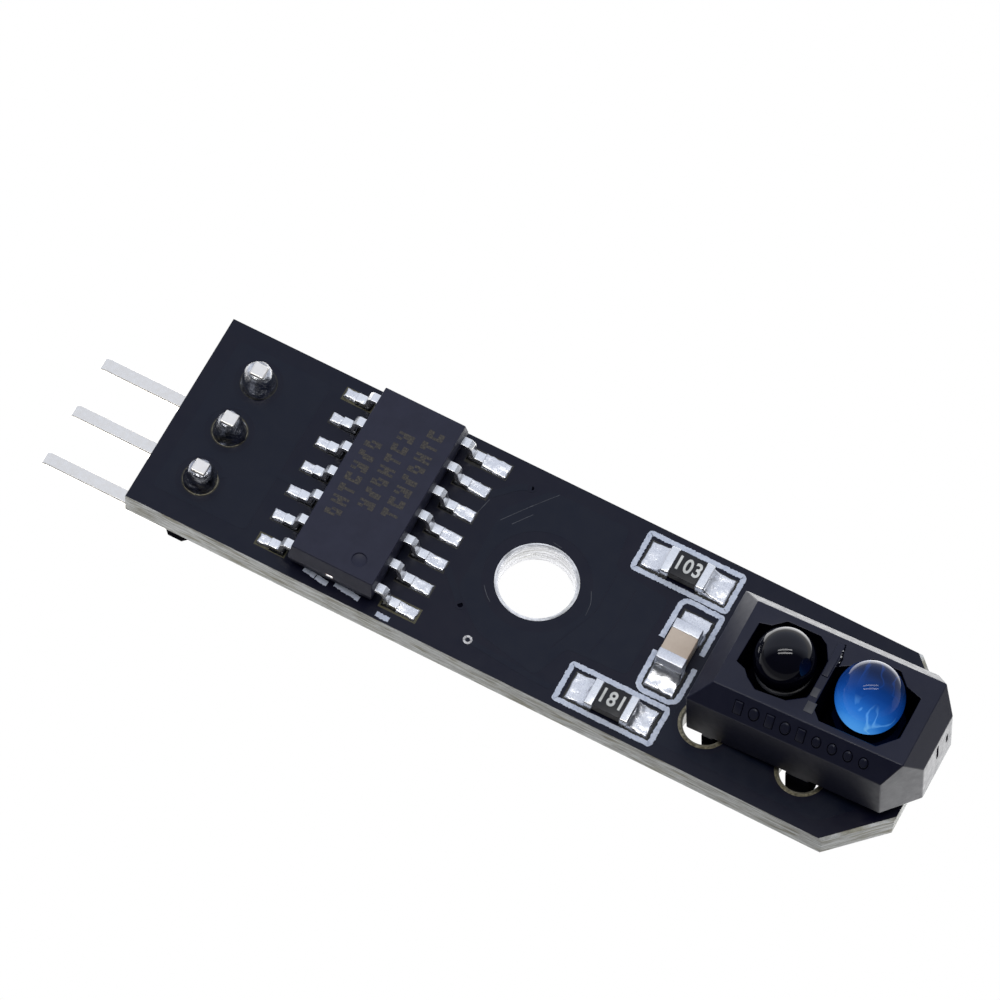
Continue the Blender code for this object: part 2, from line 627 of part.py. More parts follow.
def lens_profile(radius, rise):
    """Oval dome that narrows again below, on a round neck, from the crown down."""
    points = [(0.0, LENS_CENTRE_HEIGHT + rise)]
    steps = 12
    for step in range(1, steps + 1):
        angle = math.radians(90 - (90 + LENS_NECK_ANGLE) * step / steps)
        points.append((radius * math.cos(angle), LENS_CENTRE_HEIGHT + rise * math.sin(angle)))
    under = HOUSING_FLOOR + CONTACT_GAP
    points += [(points[-1][0], under), (0.0, under)]
    return points


def make_lens(name, x, shape, frame, material):
    """Moulded lens on a square base, hollow below for its leads and die."""
    under = HOUSING_FLOOR + CONTACT_GAP
    lens = turned(name, lens_profile(*shape), (x, LENS_Y, 0), frame, material, steps=32)
    cut = (LENS_BASE_CUT, LENS_BASE_CUT)
    outline = cut_rectangle(LENS_BASE_HALF_X, LENS_BASE_HALF_Y, cut, cut)
    base = plate(name + "_base", outline, LENS_BASE_HEIGHT,
                 (x, LENS_Y, under + LENS_BASE_HEIGHT / 2), frame)
    combine(lens, base, "UNION")
    width = SENSOR_LEAD_WIDTH + 2 * CONTACT_GAP
    for row in (-1, 1):
        y = LENS_Y + row * SENSOR_LEAD_PITCH / 2
        socket = box(f"{name}_socket_{row + 1}", (width, width, 2 * LENS_SOCKET_DEPTH),
                     (x, y, under), frame)
        combine(lens, socket)
    die_room = (LENS_DIE_ROOM, SENSOR_LEAD_PITCH, 2 * LENS_SOCKET_DEPTH)
    combine(lens, box(name + "_die_room", die_room, (x, LENS_Y, under), frame))
    shade_round(lens)


def make_sensor_leads(frame):
    """Four straight leads; the ones at the back carry the dies on a flat head."""
    names = ("detector_emitter_lead", "detector_collector_lead",
             "emitter_anode_lead", "emitter_cathode_lead")
    top = HOUSING_FLOOR + SENSOR_LEAD_INSIDE
    head_length = SENSOR_LEAD_PITCH / 2
    for name, (x, y) in zip(names, sensor_lead_places()):
        length = top + SENSOR_LEAD_BELOW
        lead = box(name, (SENSOR_LEAD_WIDTH, SENSOR_LEAD_WIDTH, length),
                   (x, y, top - length / 2), frame, tinned_pin)
        if name.endswith(("collector_lead", "cathode_lead")):
            head_size = (SENSOR_LEAD_WIDTH, head_length, LEAD_HEAD_HEIGHT)
            place = (x, y - head_length / 2 + SENSOR_LEAD_WIDTH / 4,
                     top - LEAD_HEAD_DROP - LEAD_HEAD_HEIGHT / 2)
            combine(lead, box(name + "_head", head_size, place, frame), "UNION")
    for name, x in (("detector_die", DETECTOR_X), ("emitter_die", EMITTER_X)):
        height = top - LEAD_HEAD_DROP + CONTACT_GAP + SENSOR_DIE_SIZE[2] / 2
        box(name, SENSOR_DIE_SIZE, (x, SENSOR_DIE_Y, height), frame, silicon)


def make_sensor_solder(parent):
    """Solder cones under the board, one round each sensor lead."""
    opening = SENSOR_LEAD_WIDTH + 2 * CONTACT_GAP + SENSOR_SOLDER_ROOM
    under = -BOARD_THICKNESS - CONTACT_GAP
    for index, (x, y) in enumerate(sensor_lead_places(), 1):
        place = lead_crossing(x, y, under - SENSOR_SOLDER[2] / 2)
        profile = [(radius, -height) for radius, height in solder_profile(*SENSOR_SOLDER)]
        joint = turned(f"sensor_solder_{index}", profile[::-1], (place.x, place.y, under), parent,
                       solder)
        hole = box(f"sensor_solder_hole_{index}", (opening, opening, 4 * SENSOR_SOLDER[2]),
                   (place.x, place.y, under), parent)
        combine(joint, hole)
        shade_round(joint)


# ---------------------------------------------------------------- the module

clear_scene()
parts = add_collection("line_tracking_sensor_module")
cutters = add_collection("cutters")

laminate = add_material("laminate", (0.02, 0.022, 0.03), 0.35)
black_plastic = add_material("black_plastic", (0.02, 0.02, 0.026), 0.4)
epoxy = add_material("epoxy", (0.035, 0.033, 0.05), 0.55)
tinned_pin = add_material("tinned_pin", (0.75, 0.75, 0.74), 0.3, 1.0)
tinned_lead = add_material("tinned_lead", (0.8, 0.8, 0.82), 0.35, 1.0)
solder = add_material("solder", (0.72, 0.73, 0.76), 0.25, 1.0)
copper = add_material("copper", (0.7, 0.4, 0.25), 0.4, 1.0)
silicon = add_material("silicon", (0.25, 0.25, 0.28), 0.25, 0.6)
alumina = add_material("alumina", (0.85, 0.85, 0.83), 0.6)
glaze = add_material("glaze", (0.02, 0.02, 0.022), 0.3)
tan_ceramic = add_material("tan_ceramic", (0.46, 0.35, 0.24), 0.5)
blue_lens = add_material("blue_lens", (0.02, 0.12, 0.55), 0.08)
black_lens = add_material("black_lens", (0.01, 0.01, 0.014), 0.08)

module = add_empty("sensor_module", MODULE_PLACE)
make_board(module)
make_insulator(module)
make_header_pins(module)
make_header_solder(module)
make_chip_body(module)
make_chip_leads(module)
make_chip_inside(module)
make_resistor("resistor_1", RESISTOR_1_PLACE, module)
make_resistor("resistor_2", RESISTOR_2_PLACE, module)
make_passive("capacitor_1", CAPACITOR_PLACE, CAPACITOR_HEIGHT, CAPACITOR_TERMINAL, math.pi / 2,
             tan_ceramic, module)
sensor_frame = add_empty("sensor_frame", (SENSOR_X, SENSOR_Y, SENSOR_BASE_HEIGHT), module,
                         (0.0, -SENSOR_TILT, 0.0))
make_housing(sensor_frame)
make_lens("detector_lens", DETECTOR_X, DETECTOR_LENS, sensor_frame, black_lens)
make_lens("emitter_lens", EMITTER_X, EMITTER_LENS, sensor_frame, blue_lens)
make_sensor_leads(sensor_frame)
make_sensor_solder(module)
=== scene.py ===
import math

import bmesh
import bpy
from mathutils import Matrix, Vector, noise


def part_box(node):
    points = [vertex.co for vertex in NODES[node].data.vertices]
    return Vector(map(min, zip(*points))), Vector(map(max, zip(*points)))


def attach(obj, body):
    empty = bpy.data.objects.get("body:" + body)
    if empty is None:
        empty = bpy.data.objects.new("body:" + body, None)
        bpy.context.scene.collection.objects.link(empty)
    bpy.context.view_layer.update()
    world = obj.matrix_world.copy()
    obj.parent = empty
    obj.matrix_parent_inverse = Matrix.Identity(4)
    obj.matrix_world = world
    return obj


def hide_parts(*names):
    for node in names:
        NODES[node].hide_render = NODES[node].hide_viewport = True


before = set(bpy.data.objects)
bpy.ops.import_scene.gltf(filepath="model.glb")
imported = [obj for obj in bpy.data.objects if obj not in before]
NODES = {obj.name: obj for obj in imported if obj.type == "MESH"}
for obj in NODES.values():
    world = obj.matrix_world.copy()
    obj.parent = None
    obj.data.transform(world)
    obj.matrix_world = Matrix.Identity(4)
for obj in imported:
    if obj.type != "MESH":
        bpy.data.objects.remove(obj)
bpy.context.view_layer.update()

# Looks of the line-tracking sensor module. Shapes are drawn in millimetres in one of two frames:
# the board's (x from the header end, y from the front long edge, z up from the top face) and the
# sensor's (tilted with its housing, origin in the middle of the housing's base).

MM = 0.001
BLACK = (0, 0, 0)
WHITE = (1, 1, 1)

# ------------------------------ sizes, in millimetres

BOARD_LOW, BOARD_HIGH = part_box("circuit_board")
BOARD_LENGTH = (BOARD_HIGH.x - BOARD_LOW.x) / MM
BOARD_WIDTH = (BOARD_HIGH.y - BOARD_LOW.y) / MM
BOARD_THICKNESS = (BOARD_HIGH.z - BOARD_LOW.z) / MM
BOARD_CHAMFER = 2.2
BOARD_UNDER = -BOARD_THICKNESS
MASK_THICKNESS = 0.035
MOUNT_HOLE = (16.75, 4.7, 1.75)          # x, y, radius
PEG_HOLES = ((25.7, 2.31, 1.0), (30.1, 2.31, 1.0))
VIAS = ((14.45, 2.25, 0.15), (15.45, 1.0, 0.13), (14.6, 8.4, 0.12))
LEG_HOLE_RADIUS = 0.5            # of the header's pins and the sensor's leads

HOUSING_LENGTH = 10.0
HOUSING_WIDTH = 5.5
HOUSING_HEIGHT = 3.67
HOUSING_WALL_TOP = 2.62
HOUSING_SLOPE_SIDE = 0.7
SENSOR_TILT = math.radians(5.3)
SENSOR_BASE_HEIGHT = 0.51
EMITTER_X = 1.87
EMITTER_RADIUS = 1.44
EMITTER_RISE = 1.744
DETECTOR_X = -1.95
DETECTOR_RADIUS = 1.3
DETECTOR_RISE = 1.5
LENS_Y = 0.12
LENS_CENTRE_HEIGHT = 3.7
LENS_NECK_ANGLE = 33
LENS_UNDER = 0.87
LENS_BASE_TOP = 1.97

BOARD_FRAME = (Matrix.Translation((BOARD_LOW.x, BOARD_LOW.y, BOARD_HIGH.z)) @ Matrix.Scale(MM, 4))


def axes_matrix(right, up, out):
    """A turn that lays x, y and z along three directions."""
    return Matrix((right, up, out)).transposed().to_4x4()


def sensor_matrix():
    """The housing's own frame, from the box of its CAD node."""
    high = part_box("sensor_housing")[1]
    place = Vector((high.x - HOUSING_LENGTH / 2 * MM * math.cos(SENSOR_TILT),
                    high.y - HOUSING_WIDTH / 2 * MM,
                    BOARD_HIGH.z + SENSOR_BASE_HEIGHT * MM))
    return Matrix.Translation(place) @ Matrix.Rotation(-SENSOR_TILT, 4, "Y") @ Matrix.Scale(MM, 4)


SENSOR_FRAME = sensor_matrix()


def board_box(node):
    """A node's lowest and highest corners in the board's frame."""
    low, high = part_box(node)
    back = BOARD_FRAME.inverted()
    return back @ low, back @ high


def in_scene(name, data):
    """A new object, linked into the scene."""
    made = bpy.data.objects.new(name, data)
    bpy.context.scene.collection.objects.link(made)
    return made


# ------------------------------ materials

class Network:
    """The shader nodes of a material or of the world."""

    def __init__(self, owner):
        owner.use_nodes = True
        self.nodes = owner.node_tree.nodes
        self.links = owner.node_tree.links

    def add(self, kind, **settings):
        """A new node. A setting with a capital is a socket's value, with _ for a space."""
        made = self.nodes.new("ShaderNode" + kind)
        for name, value in settings.items():
            if name.islower():
                setattr(made, name, value)
            else:
                made.inputs[name.replace("_", " ")].default_value = value
        return made

    def dot(self, source, direction):
        """How far the source vector reaches along a direction."""
        made = self.add("VectorMath", operation="DOT_PRODUCT")
        made.inputs[1].default_value = direction
        self.links.new(source, made.inputs[0])
        return made.outputs["Value"]

    def spread(self, source, low, high, from_low=0.3, from_high=0.7):
        """From low to high as the source goes from from_low to from_high."""
        made = self.add("MapRange", From_Min=from_low, From_Max=from_high, To_Min=low, To_Max=high)
        self.links.new(source, made.inputs["Value"])
        return made.outputs["Result"]

    def blend(self, factor, first, second):
        """Two shaders mixed: the first where the factor is 0, the second where it is 1."""
        made = self.add("MixShader")
        for socket, source in zip(made.inputs, (factor, first, second)):
            self.links.new(source, socket)
        return made.outputs["Shader"]


class Finish(Network):
    """A Principled material whose colour, roughness and bump come from noise textures."""

    def __init__(self, name, roughness=0.4, metallic=0.0, specular=0.5):
        self.material = bpy.data.materials.new(name)
        super().__init__(self.material)
        self.shader = self.nodes["Principled BSDF"]
        self.shader.inputs["Roughness"].default_value = roughness
        self.shader.inputs["Metallic"].default_value = metallic
        self.shader.inputs["Specular IOR Level"].default_value = specular
        self.place = self.add("TexCoord").outputs["Object"]
        self.height = None

    def noise(self, size, stretch=(1, 1, 1), detail=4.0, rough=0.55, distortion=0.0):
        """Noise whose features are about `size` millimetres; stretch lengthens them."""
        scale = self.add("Mapping", Scale=[1 / (size * MM * part) for part in stretch])
        texture = self.add("TexNoise", Scale=1.0, Detail=detail, Roughness=rough, Distortion=distortion)
        self.links.new(self.place, scale.inputs["Vector"])
        self.links.new(scale.outputs["Vector"], texture.inputs["Vector"])
        return texture.outputs["Fac"]

    def ramp(self, source, stops):
        """Colours at places from 0 to 1 of the source."""
        made = self.add("ValToRGB")
        steps = made.color_ramp.elements
        while len(steps) < len(stops):
            steps.new(0.5)
        for step, (place, colour) in zip(steps, stops):
            step.position = place
            step.color = (*colour, 1.0)
        self.links.new(source, made.inputs["Fac"])
        return made.outputs["Color"]

    def mix(self, factor, first, second):
        """Two colours mixed: the first where the factor is 0, the second where it is 1."""
        made = self.add("Mix", data_type="RGBA")
        for socket, source in (("Factor", factor), ("A", first), ("B", second)):
            self.links.new(source, made.inputs[socket])
        return made.outputs["Result"]

    def along(self, direction, low, high):
        """From 0 to 1 between two places along a direction, in millimetres."""
        return self.spread(self.dot(self.place, direction), 0.0, 1.0, low * MM, high * MM)

    def colour(self, socket):
        """Links the base colour."""
        self.links.new(socket, self.shader.inputs["Base Color"])

    def roughness(self, source, low, high):
        """Lets the roughness follow a noise between two values."""
        self.links.new(self.spread(source, low, high), self.shader.inputs["Roughness"])

    def bump(self, source, depth):
        """Relief of `depth` millimetres; several calls add up."""
        made = self.add("Bump", Distance=depth * MM, Strength=1.0)
        self.links.new(source, made.inputs["Height"])
        if self.height is not None:
            self.links.new(self.height, made.inputs["Normal"])
        self.height = made.outputs["Normal"]
        self.links.new(self.height, self.shader.inputs["Normal"])


def mask_finish(name, first, second):
    """Glossy black solder mask: its tint drifts slowly, with fine dust and orange peel."""
    made = Finish(name, roughness=0.34, specular=0.28)
    drift = made.noise(5.0, detail=2.0)
    dust = made.noise(0.12, detail=6.0, rough=0.7)
    base = made.ramp(drift, [(0.35, first), (0.65, second)])
    specks = made.ramp(dust, [(0.0, BLACK), (0.70, BLACK), (0.80, WHITE)])
    pale = made.ramp(drift, [(0.0, (0.02, 0.023, 0.036)), (1.0, (0.03, 0.034, 0.05))])
    made.colour(made.mix(specks, base, pale))
    made.roughness(made.noise(0.6), 0.28, 0.42)
    made.bump(made.noise(0.5, detail=3.0), 0.003)
    return made.material


def laminate_finish(name, dark, pale, stain):
    """Milled glass-fibre laminate: pale, with streaks that run along the board's layers."""
    made = Finish(name, roughness=0.75, specular=0.3)
    layers = made.noise(0.07, stretch=(16, 16, 1), detail=6.0, rough=0.75)
    stains = made.noise(0.5, stretch=(3.0, 3.0, 0.5), detail=5.0)
    clean = made.ramp(layers, [(0.34, dark), (0.46, [0.5 * (a + b) for a, b in zip(dark, pale)]),
                               (0.56, pale), (0.75, [min(1.0, 1.1 * part) for part in pale])])
    tan = made.ramp(layers, [(0.35, [0.5 * part for part in stain]), (0.6, stain)])
    patch = made.ramp(stains, [(0.52, BLACK), (0.64, WHITE)])
    made.colour(made.mix(patch, clean, tan))
    made.bump(layers, 0.03)
    return made.material


def metal_finish(name, dark, light, roughness, grain, depth, stretch=(1, 1, 1)):
    """Plated or soldered metal: brightness varies with its grain, roughness more slowly."""
    made = Finish(name, metallic=1.0)
    grains = made.noise(grain, stretch=stretch, detail=5.0, rough=0.65)
    broad = made.noise(grain * 6, detail=2.0)
    made.colour(made.ramp(grains, [(0.3, dark), (0.62, light)]))
    made.roughness(broad, roughness - 0.07, roughness + 0.07)
    made.bump(grains, depth)
    made.bump(broad, depth * 2)
    return made.material


def plastic_finish(name, dark, light, roughness, grain=0.06, depth=0.002, specular=0.5):
    """Moulded or painted surface: its tint drifts slowly, with a fine grain."""
    made = Finish(name, roughness=roughness, specular=specular)
    grains = made.noise(grain, detail=4.0, rough=0.6)
    made.colour(made.ramp(made.noise(0.8, detail=5.0), [(0.3, dark), (0.7, light)]))
    made.roughness(made.noise(0.35), roughness - 0.05, roughness + 0.06)
    made.bump(grains, depth)
    return made.material


def speckled_finish(name, stops, size, depth, detail, roughness, specular):
    """One rough noise gives both the colour, through stops, and the relief."""
    made = Finish(name, roughness=roughness, specular=specular)
    grain = made.noise(size, detail=detail, rough=0.8)
    made.colour(made.ramp(grain, stops))
    made.bump(grain, depth)
    return made.material


def well_resin(name, tint):
    """Plastic with painted shade, for wells, holes and flat dark patches: matt, and darkened for the
    shadow it lies in.
    """
    made = Finish(name, roughness=0.6, specular=0.0)
    made.colour(made.ramp(made.noise(0.7), [(0.3, tint), (0.7, [1.5 * part for part in tint])]))
    made.bump(made.noise(0.3), 0.004)
    return made.material


def collar_resin():
    """Black epoxy's rounded collar, with painted light: paler to the front where light runs out of the
    dome.
    """
    made = Finish("dark_resin_collar", roughness=0.3, specular=0.3)
    made.colour(made.ramp(made.along((-0.15, -1.0, 0.0), -1.4, -0.2),
                          [(0.2, (0.002, 0.002, 0.004)), (0.9, (0.11, 0.115, 0.135))]))
    made.bump(made.noise(0.3), 0.004)
    return made.material


def pin_finish():
    """Bright tin plate, with painted shade on the upright run between the level run and the board."""
    made = Finish("header_pin", roughness=0.36, metallic=1.0)
    grains = made.noise(0.20, detail=5.0)
    bright = made.ramp(grains, [(0.3, (0.95, 0.90, 0.82)), (0.7, (1.0, 0.965, 0.905))])
    shaded = made.ramp(grains, [(0.3, (0.30, 0.30, 0.31)), (0.7, (0.42, 0.42, 0.43))])
    # Painted shade: the upright run, below the moulding and the board, is darkened.
    upright = made.ramp(made.along((0.0, 0.0, 1.0), 0.0, 8.0),
                        [(0.08, BLACK), (0.15, WHITE), (0.58, WHITE), (0.66, BLACK)])
    made.colour(made.mix(upright, bright, shaded))
    made.bump(grains, 0.003)
    return made.material


def blue_resin():
    """Tinted clear epoxy with painted light: a painted glow and a paler colour low in its front half,
    crossed by thin painted glints; it glows though it is no lamp.
    """
    made = Finish("blue_resin", roughness=0.03, specular=0.15)
    made.shader.inputs["IOR"].default_value = 1.5
    made.shader.inputs["Transmission Weight"].default_value = 0.12
    made.shader.inputs["Emission Strength"].default_value = 0.75
    # Painted light: the colour and the glow go from dark, high at the back, to pale, low in front.
    forward = made.along((0.0, -1.0, -0.35), -4.6, -1.4)
    body = made.ramp(forward, [(0.05, (0.003, 0.012, 0.05)), (0.35, (0.007, 0.045, 0.20)),
                               (0.62, (0.03, 0.18, 0.60)), (0.85, (0.12, 0.45, 0.85))])
    painted_glow = made.ramp(forward, [(0.10, (0.001, 0.006, 0.030)), (0.45, (0.002, 0.040, 0.23)),
                                   (0.68, (0.014, 0.15, 0.56)), (0.82, (0.085, 0.38, 0.95)),
                                   (0.96, (0.28, 0.70, 1.0))])
    swirl = made.noise(1.5, stretch=(0.75, 1.6, 1.6), detail=2.5, rough=0.45, distortion=0.5)
    # Painted glints: thin bright streaks that are paler and glow more.
    painted_glints = made.ramp(swirl, [(0.470, BLACK), (0.492, (0.5, 0.5, 0.5)), (0.515, BLACK)])
    pale = made.ramp(forward, [(0.42, (0.007, 0.045, 0.20)), (0.60, (0.22, 0.55, 1.0)),
                               (1.0, (0.55, 0.90, 1.0))])
    made.colour(made.mix(painted_glints, body, pale))
    glint_glow = made.ramp(forward, [(0.42, (0.002, 0.030, 0.18)), (0.60, (0.12, 0.42, 0.95)),
                              (1.0, (0.40, 0.85, 1.0))])
    made.links.new(made.mix(painted_glints, painted_glow, glint_glow), made.shader.inputs["Emission Color"])
    return made.material


MASK = mask_finish("solder_mask", (0.0020, 0.0022, 0.0128), (0.0016, 0.0034, 0.0140))
MASK_ON_COPPER = mask_finish("solder_mask_on_copper", (0.0018, 0.0040, 0.0148),
                             (0.0024, 0.0048, 0.0158))
WORN_MASK = plastic_finish("worn_mask", (0.010, 0.012, 0.018), (0.10, 0.105, 0.12), 0.5, grain=0.08)
LAMINATE = laminate_finish("laminate_edge", (0.30, 0.29, 0.25), (0.74, 0.75, 0.73),
                           (0.44, 0.42, 0.33))
HOLE_WALL = laminate_finish("laminate_hole_wall", (0.42, 0.42, 0.42), (0.93, 0.93, 0.95),
                            (0.80, 0.80, 0.78))
BARE_LAMINATE = plastic_finish("bare_laminate", (0.035, 0.031, 0.012), (0.095, 0.086, 0.040), 0.55,
                               grain=0.05, depth=0.006)
PAD_GAP = plastic_finish("pad_gap", (0.006, 0.006, 0.006), (0.022, 0.020, 0.013), 0.6)
PEG_RING = metal_finish("peg_hole_ring", (0.06, 0.055, 0.035), (0.30, 0.27, 0.19), 0.42, 0.12,
                        0.004)
PEG_WALL = plastic_finish("peg_hole_wall", (0.07, 0.062, 0.040), (0.26, 0.24, 0.18), 0.45, grain=0.05)
VIA_RING = metal_finish("via_ring", (0.16, 0.15, 0.14), (0.78, 0.75, 0.72), 0.40, 0.10, 0.010)
BALL_JOINT = metal_finish("ball_joint", (0.30, 0.30, 0.32), (1.0, 1.0, 1.0), 0.24, 0.38, 0.055)
TINNED_PAD = metal_finish("tinned_pad", (0.62, 0.63, 0.66), (0.84, 0.85, 0.88), 0.38, 0.05, 0.004)
SOLDER = metal_finish("solder_skin", (0.66, 0.66, 0.68), (0.99, 0.99, 1.0), 0.31, 0.045, 0.008)
# Solder darkened as painted shade: beside the chip's feet and inside a via.
SHADED_SOLDER = metal_finish("dull_solder", (0.035, 0.035, 0.04), (0.16, 0.16, 0.17), 0.30, 0.12,
                           0.008)
# Solder darkened as a painted dark reflection.
DARK_JOINT = metal_finish("glossy_joint", (0.05, 0.05, 0.06), (0.66, 0.67, 0.71), 0.22, 0.42, 0.06)
BRIGHT_SOLDER = metal_finish("bright_solder", (0.42, 0.43, 0.46), (0.80, 0.81, 0.84), 0.20, 0.30,
                             0.05)
TINNED_LEAD = metal_finish("tinned_lead", (0.86, 0.86, 0.86), (1.0, 1.0, 1.0), 0.28, 0.06, 0.0028)
TINNED_PIN = metal_finish("tinned_pin", (0.95, 0.90, 0.82), (1.0, 0.965, 0.905), 0.36, 0.20, 0.0012,
                          stretch=(8, 1, 1))
HEADER_PIN = pin_finish()
COPPER = metal_finish("copper_alloy", (0.55, 0.27, 0.14), (0.75, 0.42, 0.26), 0.35, 0.05, 0.003)
SILICON = metal_finish("silicon_die", (0.10, 0.10, 0.13), (0.20, 0.20, 0.25), 0.2, 0.08, 0.001)
HOUSING_PLASTIC = plastic_finish("housing_plastic", (0.0046, 0.0056, 0.0195),
                                 (0.0066, 0.0076, 0.0235), 0.36, grain=0.05, depth=0.0022,
                                 specular=0.37)
# Painted shade: the housing's plastic for its front wall, with a dimmed reflection.
HOUSING_WALL = plastic_finish("housing_wall", (0.0050, 0.0058, 0.0180), (0.0070, 0.0078, 0.0220),
                              0.40, grain=0.05, depth=0.0022, specular=0.24)
WORN_PLASTIC = plastic_finish("worn_plastic", (0.035, 0.035, 0.040), (0.065, 0.065, 0.072), 0.5,
                              grain=0.08)
HEADER_PLASTIC = plastic_finish("header_plastic", (0.0025, 0.0025, 0.0035), (0.005, 0.005, 0.006),
                                0.6, specular=0.0)
EPOXY = plastic_finish("chip_epoxy", (0.0100, 0.0108, 0.0285), (0.0145, 0.0154, 0.0365), 0.5,
                       grain=0.035, depth=0.005, specular=0.35)
# Faint laser marking: brownish where the beam bit, and broken by the epoxy's grain.
CHIP_MARK = speckled_finish("chip_mark", [(0.36, (0.0125, 0.0135, 0.0245)),
                                          (0.48, (0.042, 0.037, 0.034)),
                                          (0.66, (0.105, 0.090, 0.066))],
                            size=0.09, depth=0.005, detail=6.0, roughness=0.6, specular=0.35)
WHITE_CERAMIC = plastic_finish("white_ceramic", (0.045, 0.041, 0.036), (0.14, 0.13, 0.12), 0.6)
TAN_CERAMIC = plastic_finish("tan_ceramic", (0.55, 0.44, 0.34), (0.66, 0.55, 0.44), 0.5, grain=0.04,
                             depth=0.003)
GLAZE = plastic_finish("resistor_glaze", (0.008, 0.0078, 0.0095), (0.015, 0.0145, 0.017), 0.4,
                       specular=0.36)
# Pale print on the resistors; also painted glints on the sensor's divider.
PALE_PRINT_AND_GLINT = plastic_finish("resistor_print", (0.50, 0.50, 0.47), (0.80, 0.80, 0.76), 0.5,
                             grain=0.04, depth=0.004)
# White legend ink: a little thin and bluish in places.
LEGEND_INK = speckled_finish("legend_ink", [(0.30, (0.16, 0.18, 0.25)), (0.42, (0.52, 0.57, 0.68)),
                                            (0.60, (0.66, 0.70, 0.79))],
                             size=0.20, depth=0.008, detail=8.0, roughness=0.55, specular=0.4)
BLUE_RESIN = blue_resin()
DARK_RESIN = plastic_finish("dark_resin", (0.0016, 0.0016, 0.0050), (0.0024, 0.0024, 0.0064), 0.06,
                            grain=0.9, depth=0.004, specular=0.36)
# Painted shade: the lens bases and the lower parts of the domes are darker copies of their resin.
BLUE_BASE = well_resin("blue_resin_base", (0.0012, 0.0035, 0.016))
RIB_PLASTIC = plastic_finish("rib_plastic", (0.005, 0.006, 0.018), (0.008, 0.009, 0.024), 0.42,
                             specular=0.3)
# Painted shade: flat dark pieces where shadow falls, on the ribs' outlines, in the vias, the divider's
# crack and the end notches, in the wells, and on the pegs' fronts.
RIB_SHADE = well_resin("rib_shade", (0.0022, 0.0023, 0.0048))
DARK_COLLAR = collar_resin()
DARK_BASE = well_resin("dark_resin_base", (0.0012, 0.0012, 0.0030))
PEG_SHADE = well_resin("peg_shade", (0.0035, 0.0035, 0.0050))


# ------------------------------ modelling tools

def add_piece(name, mesh, material, slot, *replaced, place=BOARD_FRAME, sharp=35.0):
    """Links a finished mesh, drawn in `place`, as a piece of the module."""
    mesh.name = name
    mesh.transform(place)
    mesh.materials.clear()
    mesh.materials.append(material)
    mesh.shade_smooth()
    mesh.set_sharp_from_angle(angle=math.radians(sharp))
    piece = in_scene(name, mesh)
    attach(piece, "root")
    if replaced:
        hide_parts(*replaced)
    return piece


def add_housing_piece(name, mesh, material, place=SENSOR_FRAME):
    """A piece of the sensor's housing, drawn in the sensor's frame."""
    add_piece(name, mesh, material, "housing_plastic", place=place)


def as_mesh(shape):
    """Turns a bmesh into a mesh with its faces pointing out."""
    bmesh.ops.recalc_face_normals(shape, faces=shape.faces)
    mesh = bpy.data.meshes.new("shape")
    shape.to_mesh(mesh)
    shape.free()
    return mesh


def bridge(shape, first, second):
    """Faces between two closed rings of equally many vertices."""
    count = len(first)
    for index in range(count):
        after = (index + 1) % count
        shape.faces.new((first[index], second[index], second[after], first[after]))


def shown_mesh(thing):
    """The mesh that an object shows, with its modifiers, or a curve's own shape."""
    bpy.context.view_layer.update()
    shown = thing.evaluated_get(bpy.context.evaluated_depsgraph_get())
    return bpy.data.meshes.new_from_object(shown)


def curve_mesh(curve):
    """A curve or a text as a mesh; the curve is used up."""
    drawn = in_scene("curve", curve)
    mesh = shown_mesh(drawn)
    bpy.data.objects.remove(drawn)
    bpy.data.curves.remove(curve)
    return mesh


def plate(loops, low, high):
    """A flat plate between two heights; loops are its outline and then its holes."""
    curve = bpy.data.curves.new("outline", "CURVE")
    curve.dimensions = "2D"
    curve.fill_mode = "BOTH"
    curve.extrude = (high - low) / 2
    for loop in loops:
        spline = curve.splines.new("POLY")
        spline.points.add(len(loop) - 1)
        for point, (x, y) in zip(spline.points, loop):
            point.co = (x, y, 0.0, 1.0)
        spline.use_cyclic_u = True
    mesh = curve_mesh(curve)
    mesh.transform(Matrix.Translation((0, 0, (low + high) / 2)))
    shape = bmesh.new()
    shape.from_mesh(mesh)
    bmesh.ops.remove_doubles(shape, verts=shape.verts, dist=0.0005)
    return as_mesh(shape)


def circle(x, y, radius, steps=48):
    """A round loop."""
    turns = [2 * math.pi * step / steps for step in range(steps)]
    return [(x + radius * math.cos(turn), y + radius * math.sin(turn)) for turn in turns]


def annulus(x, y, inner, outer, steps=40):
    """The two loops of a flat ring."""
    return [circle(x, y, outer, steps), circle(x, y, inner, steps)]


def rectangle(low_x, low_y, high_x, high_y):
    """A loop of four corners."""
    return [(low_x, low_y), (high_x, low_y), (high_x, high_y), (low_x, high_y)]


def round_corners(corners, radius, closed=True):
    """A path through corners, each one eased by a short curve."""
    steps = 5
    path = []
    count = len(corners)
    for index, corner in enumerate(corners):
        here = Vector(corner)
        if not closed and index in (0, count - 1):
            path.append(tuple(here))
            continue
        before = Vector(corners[index - 1])
        after = Vector(corners[(index + 1) % count])
        start = here + (before - here).normalized() * radius
        end = here + (after - here).normalized() * radius
        for step in range(steps + 1):
            t = step / steps
            point = start * (1 - t) ** 2 + here * 2 * t * (1 - t) + end * t ** 2
            path.append(tuple(point))
    return path


def even_steps(path, step, closed):
    """The same path with points about `step` apart."""
    ends = path[1:] + path[:1] if closed else path[1:]
    made = []
    for start, end in zip(path, ends):
        start, end = Vector(start), Vector(end)
        count = max(1, round((end - start).length / step))
        made += [tuple(start.lerp(end, part / count)) for part in range(count)]
    if not closed:
        made.append(path[-1])
    return made


